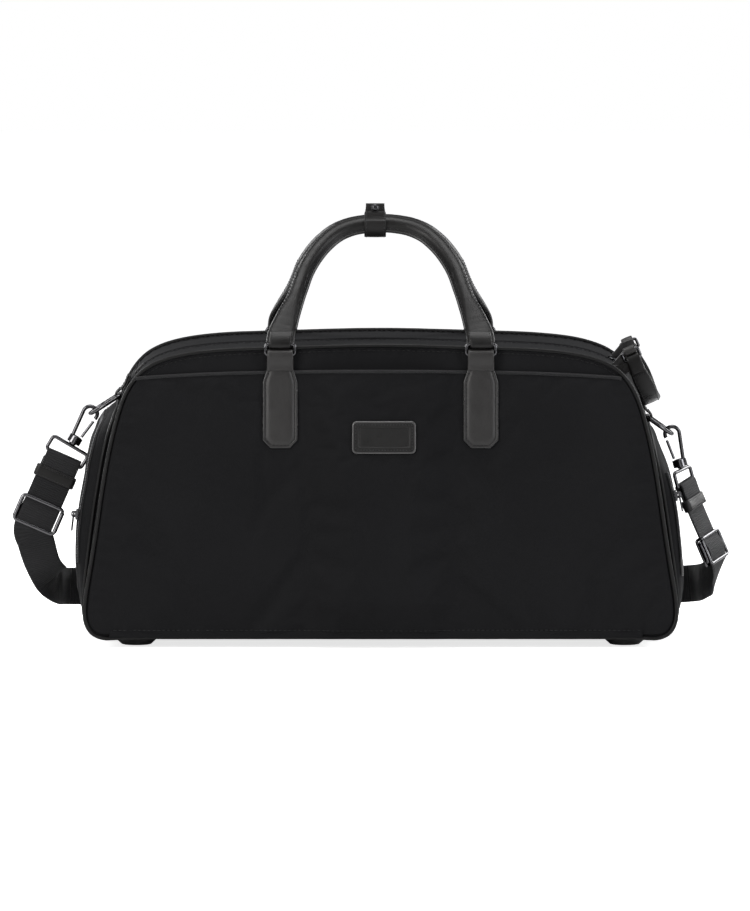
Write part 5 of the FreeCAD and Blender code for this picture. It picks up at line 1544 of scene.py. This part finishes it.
def grab_strap():
    hang = GRAB_HANG + mirrored(GRAB_HANG[:-1])
    hang = [(a * 51.6, b * 40 - 3.4) for a, b in hang]
    flat = smooth_path(GRAB_END + hang + mirrored(GRAB_END), 240)
    path = np.array([grab_point(0.35 * math.sin(i * 0.11), y, z) for i, (y, z) in enumerate(flat)])
    forward = tangents(path)
    normals = normals_toward(path, GRAB_ACROSS, 120, (GRAB_SIN, 0, -GRAB_COS))
    share = np.linspace(0, 1, len(path))
    taper = 0.80 + 0.20 * smoothstep(0.10, 0.22, np.minimum(share, 1 - share))
    ribbon("end_grab_leather", path, GRAB_ACROSS, normals, (15.6, 2.5, 0.5), LEATHER,
           ON_END_GRIP, widths=taper, node="end_handle_strap")
    for e, mark in ((-1, "a"), (1, "b")):
        for f, depth, face in ((-1, 1.25, "i"), (1, 1.55, "o")):
            row = path + GRAB_ACROSS * e * 5.9 * taper[:, None] + normals * f * depth
            stitches("end_grab_stitch_" + mark + face, row[34:-34], (normals * f)[34:-34],
                     THREAD, (2.3, 1.0, 0.32), ON_END_GRIP)
        for k, i in enumerate((40, -41)):
            row = np.array([path[i] + GRAB_ACROSS * w + normals[i] * 1.6
                            for w in np.linspace(-5.0, 5.0, 9)])
            stitches("end_grab_cross_%s%d" % (mark, k), row + forward[i] * 2.4 * e, normals[i],
                     THREAD, (1.8, 0.7, 0.3), ON_END_GRIP, slant=0.5 * e)


def grab_anchor(k, y_sign):
    fin = resample_loop(round_poly(FIN, FIN_RADII), 0.9)

    def place(x, z, height):
        return grab_point(x, y_sign * (45.3 + height), z)
    plate("end_anchor_fin_%d" % k, fin, FIN_ROWS, place, [LEATHER_TAB, EDGE], ON_LEATHER,
          rim_rows=5, node="end_handle_anchors" if k == 0 else None)
    stitches("end_anchor_stitch_%d" % k, [place(x, z, 2.5) for x, z in inset_loop(fin, 2.3)],
             Y_AXIS * y_sign, THREAD, (1.9, 0.8, 0.27), ON_LEATHER, closed=True)
    path = smooth_path([grab_point(0, y_sign * (52 + y), z) for y, z in FIN_LOOP], 70)
    ribbon("end_anchor_loop_%d" % k, path, GRAB_ACROSS, np.cross(GRAB_ACROSS, tangents(path)),
           (10.4, 1.5, 0.2), LEATHER_TAB, ON_END_GRIP)


grab_strap()
grab_anchor(0, -1)
grab_anchor(1, 1)


# ================================================================= shoulder strap
class StrapEnd:
    """Places and directions of the hardware at one end of the strap."""

    def __init__(self, sign, side, eye, up, ring, ring_seam_z, buckle, turn):
        self.sign, self.side, self.up = sign, side, unit(up)
        self.ring, self.buckle = np.array(ring), np.array(buckle)
        self.ring_seam_z = ring_seam_z
        self.hook = np.array(eye) - 26.0 * self.up
        self.bar = self.hook - 19.7 * self.up
        self.web_start = self.hook - 24.0 * self.up
        self.along = unit(self.buckle - self.web_start)
        x, _, z = self.along
        cos, sin = math.cos(turn), math.sin(turn)
        self.across = np.array([-z * cos, sin, x * cos])
        self.normal = np.array([-z * sin, -cos, x * sin])      # looks to the rear

    def at(self, origin, across, along, out):
        return origin + self.across * across + self.along * along + self.normal * out


LEFT_END = StrapEnd(-1, "left", eye=(-253.4, 0, 194.2), up=(0.512, 0, 0.859),
                    ring=(-227.42, 0, 210.905), ring_seam_z=209.5,
                    buckle=(-298.6, 0, 106.0), turn=0.0)
RIGHT_END = StrapEnd(1, "right", eye=(254.5, 0, 176.5), up=(-0.26, 0, 0.9656),
                     ring=(233.14, 0, 191.585), ring_seam_z=190.5,
                     buckle=(289.5, 0, 77.0), turn=math.radians(65))
RUN_Y = 125.8                   # the strap's long run lies along the front at this depth
# stations between the two ends: centre, direction across the web, normal
STRAP_STATIONS = [
    ((-301, 2, 82), (1, 0, 0.0), (0, 1, 0)),
    ((-296, 8, 64), (1, -0.25, 0.25), (0, 1, 0.25)),
    ((-289, 22, 50), (0.75, -0.35, 0.75), (0.5, 1, 0.1)),
    ((-285, 42, 42), (0.22, -0.08, 1), (1, 0.25, 0)),
    ((-283, 62, 38), (0, 0, 1), (1, 0.05, 0)),
    ((-281.5, 88, 35), (0, 0, 1), (1, 0.15, 0)),
    ((-276, 111, 33), (0, 0, 1), (1, 0.75, 0)),
    ((-258, RUN_Y - 1.5, 31.5), (0, 0, 1), (0.25, 1, 0)),
    ((-225, RUN_Y, 30), (0, 0, 1), (0, 1, 0)),
    ((-110, RUN_Y + 0.4, 28.6), (0, 0.03, 1), (0, 1, 0)),
    ((0, RUN_Y, 28), (0, -0.02, 1), (0, 1, 0)),
    ((110, RUN_Y + 0.5, 29), (0, 0.03, 1), (0, 1, 0)),
    ((225, RUN_Y, 31), (0, 0, 1), (0, 1, 0)),
    ((258, RUN_Y - 1.5, 33), (0, 0, 1), (-0.25, 1, 0)),
    ((276, 111, 35.5), (0, 0, 1), (-1, 0.75, 0)),
    ((281.5, 88, 38.5), (0, 0, 1), (-1, 0.15, 0)),
    ((283.5, 62, 42), (0, 0, 1), (-1, 0.05, 0)),
    ((287, 42, 46), (0.02, -0.05, 1), (-1, 0.1, 0)),
    ((291.5, 24, 49.5), (0.1, 0.25, 0.95), (-1, 0.25, 0)),
    ((295.5, 9, 55.5), (0.28, 0.75, 0.6), (-0.95, 0.35, 0)),
]


def strap_run():
    def straight(end):
        """Three stations from the hook to just past the buckle."""
        past = end.buckle + end.along * 14
        centres = (end.web_start, (end.web_start + past) / 2, past)
        return [(centre, end.across, end.normal) for centre in centres]
    rows = []
    for centre, across, normal in straight(LEFT_END) + STRAP_STATIONS + straight(RIGHT_END)[::-1]:
        across = unit(across)
        normal = square_to(normal, across)
        if rows:        # keep both directions on the same side as the last station's
            if np.dot(rows[-1][3:6], across) < 0:
                across = -across
            if np.dot(rows[-1][6:9], normal) < 0:
                normal = -normal
        rows.append(np.r_[centre, across, normal])
    # the directions are scaled so that a turn of the web counts as distance
    dense = smooth_path(np.array(rows) * np.array([1] * 3 + [18.0] * 6), 620)
    path = dense[:, :3]
    forward = tangents(path)
    across = np.array([square_to(a, t) for a, t in zip(dense[:, 3:6], forward)])
    normals = np.cross(forward, across)
    normals = normals * np.sign(np.sum(normals * dense[:, 6:9], axis=1, keepdims=True))
    ribbon("strap_web_run", path, across, normals, (32.6, 1.9, 0.1), WEB, ON_STRAP,
           node="strap_webbing")
    for e, mark in ((-1, "a"), (1, "b")):
        row = path + across * e * 13.8 + normals * 0.95
        stitches("strap_web_selvedge_" + mark, row[40:-40], normals[40:-40], THREAD_DARK,
                 (2.8, 1.4, 0.22), ON_STRAP)


def web_fold(end):
    """Webbing folded round the lower bar of the hook and stitched back on itself."""
    bar, size = end.bar, (2.2, 0.8, 0.28)
    points = [end.at(bar, 0, 22, 1.9), end.at(bar, 0, 15, 2.0), end.at(bar, 0, 7, 2.4)]
    points += [end.at(bar, 0, -2.9 * math.sin(a), 2.9 * math.cos(a))
               for a in np.linspace(0.35, math.pi - 0.25, 7)]
    points += [end.at(bar, 0, 4.0, -1.9), end.at(end.web_start, 0, 4.0, -0.2),
               end.at(end.web_start, 0, 9.0, -0.1)]
    path = smooth_path(points, 90)
    across = np.array([square_to(end.across, t) for t in tangents(path)])
    ribbon(end.side + "_web_fold", path, across, normals_toward(path, across, 4, end.normal),
           (31.8, 1.8, 0.1), WEB, ON_STRAP)
    corners = [(-12.5, 8), (12.5, 8), (12.5, 20), (-12.5, 20)]
    box = np.vstack([np.linspace(corners[i], corners[(i + 1) % 4], 12, endpoint=False)
                     for i in range(4)])
    stitches(end.side + "_web_box", [end.at(bar, a, b, 2.95) for a, b in box], end.normal,
             THREAD, size, ON_STRAP, closed=True)
    for k in range(2):
        diagonal = np.linspace(corners[k], corners[k + 2], 16)
        stitches("%s_web_cross_%d" % (end.side, k), [end.at(bar, a, b, 2.95) for a, b in diagonal],
                 end.normal, THREAD, size, ON_STRAP)


def keeper(end):
    """Leather band round the doubled webbing."""
    half_width, half_thick = 17.6, 3.0
    box = [(-half_width, -half_thick), (half_width, -half_thick), (half_width, half_thick),
           (-half_width, half_thick)]
    loop = resample_loop(round_poly(box, 2.4, 8), (half_width * 4 + half_thick * 4) / 96)
    path = np.array([end.at(end.web_start, a, 13.0, b + 1.0) for a, b in loop])
    normals = np.array([end.across * b - end.normal * a for a, b in tangents(loop, closed=True)])
    ribbon(end.side + "_keeper_leather", path, end.along, normals, (10.2, 1.5, 0.3),
           LEATHER_DARK, ON_STRAP_LEATHER, closed=True, node=end.side + "_keeper")
    for e, mark in ((-1, "a"), (1, "b")):
        stitches("%s_keeper_stitch_%s" % (end.side, mark),
                 path + end.along * e * 3.7 + normals * 0.95, normals, THREAD, (1.9, 0.8, 0.26),
                 ON_STRAP_LEATHER, closed=True)


# section of the buckle frame: (across the rim, out)
BUCKLE_SECTION = [(-1.35, -0.6), (-1.35, 0.55), (-0.9, 1.0), (0.9, 1.0), (1.35, 0.55),
                  (1.35, -0.6), (0.9, -1.0), (-0.9, -1.0)]
# webbing over the middle of the buckle: (along, out)
BUCKLE_HUMP = [(-9.8, 1.95), (-7.0, 2.3), (-3.0, 3.2), (0, 3.5), (3.0, 3.2), (7.0, 2.3),
               (9.8, 1.95)]


def buckle(end):
    """Sliding buckle: a polished frame on each face, webbing humped over it, two side bars."""
    half_width, half_length = 18.9, 11.6
    body, centre = end.side + "_tri_glide", end.buckle
    box = [(-half_width, -half_length), (half_width, -half_length), (half_width, half_length),
           (-half_width, half_length)]
    loop = resample_loop(round_poly(box, 3.2, 8), 1.2)
    for face, mark in ((1, "b"), (-1, "a")):
        path = np.array([end.at(centre, a, b, face * 2.9) for a, b in loop])
        fix_normals(sweep("%s_buckle_frame_%s" % (end.side, mark), path,
                          np.cross(tangents(path, closed=True), end.normal), end.normal * face,
                          BUCKLE_SECTION, METAL, (body, "polished_metal"), closed=True,
                          node=end.side + "_adjuster" if face > 0 else None))
        hump = smooth_path([end.at(centre, 0, b, face * h) for b, h in BUCKLE_HUMP], 40)
        normals = normals_toward(hump, end.across, 20, end.normal * face)
        ribbon("%s_buckle_web_%s" % (end.side, mark), hump, end.across, normals,
               (32.6, 1.7, 0.1), WEB, (body, "strap_web"))
    for e, mark in ((-1, "a"), (1, "b")):
        bar = [end.at(centre, e * half_width, b, 0) for b in np.linspace(-9.5, 9.5, 8)]
        tube("%s_buckle_side_%s" % (end.side, mark), bar, 1.9, METAL, (body, "polished_metal"),
             up=(0, 1, 0.3), sides=14)


# swivel collar and ball of the snap hook: (radius, height)
COLLAR_PROFILE = [(0.1, -5.4), (2.3, -5.3), (3.2, -4.6), (3.4, -3.6), (4.3, -3.2), (4.6, -2.4),
                  (4.3, -1.6), (3.3, -1.3), (3.1, -0.2), (4.9, 0.2), (5.4, 1.0), (5.4, 2.0),
                  (4.7, 2.9), (3.2, 3.3), (0.1, 3.4)]
# leather loop round the D-ring: (up the wall, out from it)
RING_LOOP = [(19.0, 1.2), (12.0, 1.3), (6.0, 1.2), (1.0, 0.9), (-2.6, 2.0), (-3.5, 4.3),
             (-2.4, 6.6), (0.2, 7.5), (3.0, 6.6), (6.5, 4.2), (12.0, 3.0), (19.0, 2.8)]


def ring_anchor(end):
    """Leather tab that holds the D-ring on the end of the bag."""
    s = s_at(end.ring_seam_z)
    swap = np.array([-end.sign, 1, 1])          # the outline is read on the left flank
    origin, out = wall_point(s, 0) * swap, wall_normal(s) * swap
    climb = np.array([out[2] * -end.sign, 0, out[0] * end.sign])
    path = smooth_path([origin + climb * a + out * b for a, b in RING_LOOP], 70)
    normals = normals_toward(path, Y_AXIS, 30, path[30] - end.ring)
    ribbon(end.side + "_anchor_leather", path, Y_AXIS, normals, (21.0, 1.7, 0.25), LEATHER_DARK,
           ON_LEATHER, node=end.side + "_strap_anchor")
    for e, mark in ((-1, "a"), (1, "b")):
        row = path + Y_AXIS * e * 8.2 + normals * 0.95
        stitches("%s_anchor_stitch_%s" % (end.side, mark), row[46:68], normals[46:68], THREAD,
                 (2.0, 0.8, 0.28), ON_LEATHER)
    bar = [path[56] + Y_AXIS * y + normals[56] for y in np.linspace(-8, 8, 12)]
    stitches(end.side + "_anchor_bar", bar, normals[56], THREAD, (1.8, 0.6, 0.28), ON_LEATHER)


strap_run()
for end in (LEFT_END, RIGHT_END):
    web_fold(end)
    keeper(end)
    buckle(end)
    lathe(end.side + "_hook_collar", [end.hook], end.up, COLLAR_PROFILE, METAL,
          (BODY_OF[end.side + "_snap_hook"], "polished_metal"), sides=40)
    ring_anchor(end)

# ================================================================= feet
FOOT_PROFILE = [(0.1, 8.9), (21.2, 8.9), (21.6, 8.4), (21.6, 7.3), (21.1, 6.9), (19.6, 6.6),
                (19.2, 6.2), (13.6, 1.0), (12.8, 0.35), (11.5, 0.05), (9.0, 0.05), (8.4, 0.5),
                (5.0, 0.6), (4.6, 0.3), (0.1, 0.3)]     # (radius, height)
lathe("base_feet", [(x, y, 0.0) for x in (-212, 212) for y in (-82, 82)], (0, 0, 1),
      FOOT_PROFILE, RUBBER, ("bag", "foot_rubber"), sides=48, node="feet")

# ================================================================= CAD parts kept as they are
for node_name, piece in frame["nodes"].items():
    mat = METAL_ZIP if ("slider" in node_name or "pull" in node_name) else METAL
    if node_name == "base_board":
        mat = RUBBER
    for slot in piece.material_slots:
        slot.material = mat
    if not piece.material_slots:
        piece.data.materials.append(mat)

# ================================================================= stage, lights, camera (m)
scene = bpy.context.scene


def make_floor():
    """White floor that also glows a little, for the camera only."""
    mat, t, _ = principled("floor_white", (0.90, 0.90, 0.90), 0.6, specular=0.1)
    plain = mat.node_tree.nodes["Principled BSDF"].outputs[0]
    glow = t.add("ShaderNodeEmission", {"Color": (1, 1, 1, 1), "Strength": 0.76}).outputs[0]
    seen = t.add("ShaderNodeLightPath").outputs["Is Camera Ray"]
    lit = t.add("ShaderNodeAddShader", {0: plain, 1: glow}).outputs[0]
    mixed = t.add("ShaderNodeMixShader", {0: seen, 1: plain, 2: lit}).outputs[0]
    t.put(mat.node_tree.nodes["Material Output"].inputs[0], mixed)
    bpy.ops.mesh.primitive_plane_add(size=14, location=(0, 0, -0.0006))
    floor = bpy.context.object
    floor.name = "floor"
    floor.data.materials.append(mat)


def make_world():
    """Soft studio light; the camera itself sees clean white."""
    world = bpy.data.worlds.new("studio")
    scene.world = world
    world.use_nodes = True
    t = Tree(world.node_tree)
    soft = world.node_tree.nodes["Background"]
    t.put(soft.inputs[0], (0.97, 0.98, 1.0, 1))
    t.put(soft.inputs[1], 0.27)
    white = t.add("ShaderNodeBackground", {"Color": (1, 1, 1, 1), "Strength": 1.0})
    seen = t.add("ShaderNodeLightPath").outputs["Is Camera Ray"]
    mixed = t.add("ShaderNodeMixShader", {0: seen, 1: soft.outputs[0], 2: white.outputs[0]})
    t.put(world.node_tree.nodes["World Output"].inputs[0], mixed.outputs[0])


def area_light(name, place, target_z, size, watts, color=(1, 1, 1)):
    """Rectangular light aimed at the Z axis at height target_z."""
    light = bpy.data.lights.new(name, "AREA")
    light.shape = "RECTANGLE"
    light.size, light.size_y = size
    light.energy = watts
    light.color = color
    holder = bpy.data.objects.new(name, light)
    scene.collection.objects.link(holder)
    holder.location = place
    aim = Vector((0, 0, target_z)) - Vector(place)
    holder.rotation_euler = aim.to_track_quat("-Z", "Y").to_euler()


def make_camera():
    """Long lens from the rear (-Y), a little above level."""
    distance, elevation = 14.0, math.radians(4.75)
    subject_near, view_width = 0.11, 0.6495     # the view is this wide this far before the aim
    camera = bpy.data.cameras.new("camera")
    camera.sensor_fit = "HORIZONTAL"
    camera.sensor_width = 36
    camera.lens = 36 * (distance - subject_near) / view_width
    camera.clip_start = 0.1
    camera.clip_end = 40
    holder = bpy.data.objects.new("camera", camera)
    scene.collection.objects.link(holder)
    aim = Vector((-0.0048, 0.0, 0.1569 / math.cos(elevation)))
    holder.location = aim + Vector((0, -math.cos(elevation), math.sin(elevation))) * distance
    holder.rotation_euler = (aim - holder.location).to_track_quat("-Z", "Y").to_euler()
    scene.camera = holder


make_floor()
make_world()
area_light("key_left", (-1.5, -1.6, 1.0), target_z=0.16, size=(0.9, 1.3), watts=34,
           color=(1, 0.99, 0.97))
area_light("fill_right", (1.7, -1.2, 0.8), target_z=0.16, size=(0.8, 1.2), watts=20,
           color=(0.97, 0.98, 1))
area_light("top", (0.0, -0.2, 1.9), target_z=0.2, size=(1.6, 1.0), watts=30)
area_light("rim_left", (-1.3, 1.3, 0.9), target_z=0.2, size=(0.5, 1.2), watts=16)
area_light("rim_right", (1.3, 1.2, 0.9), target_z=0.2, size=(0.5, 1.2), watts=16)
make_camera()
scene.view_settings.view_transform = "Standard"
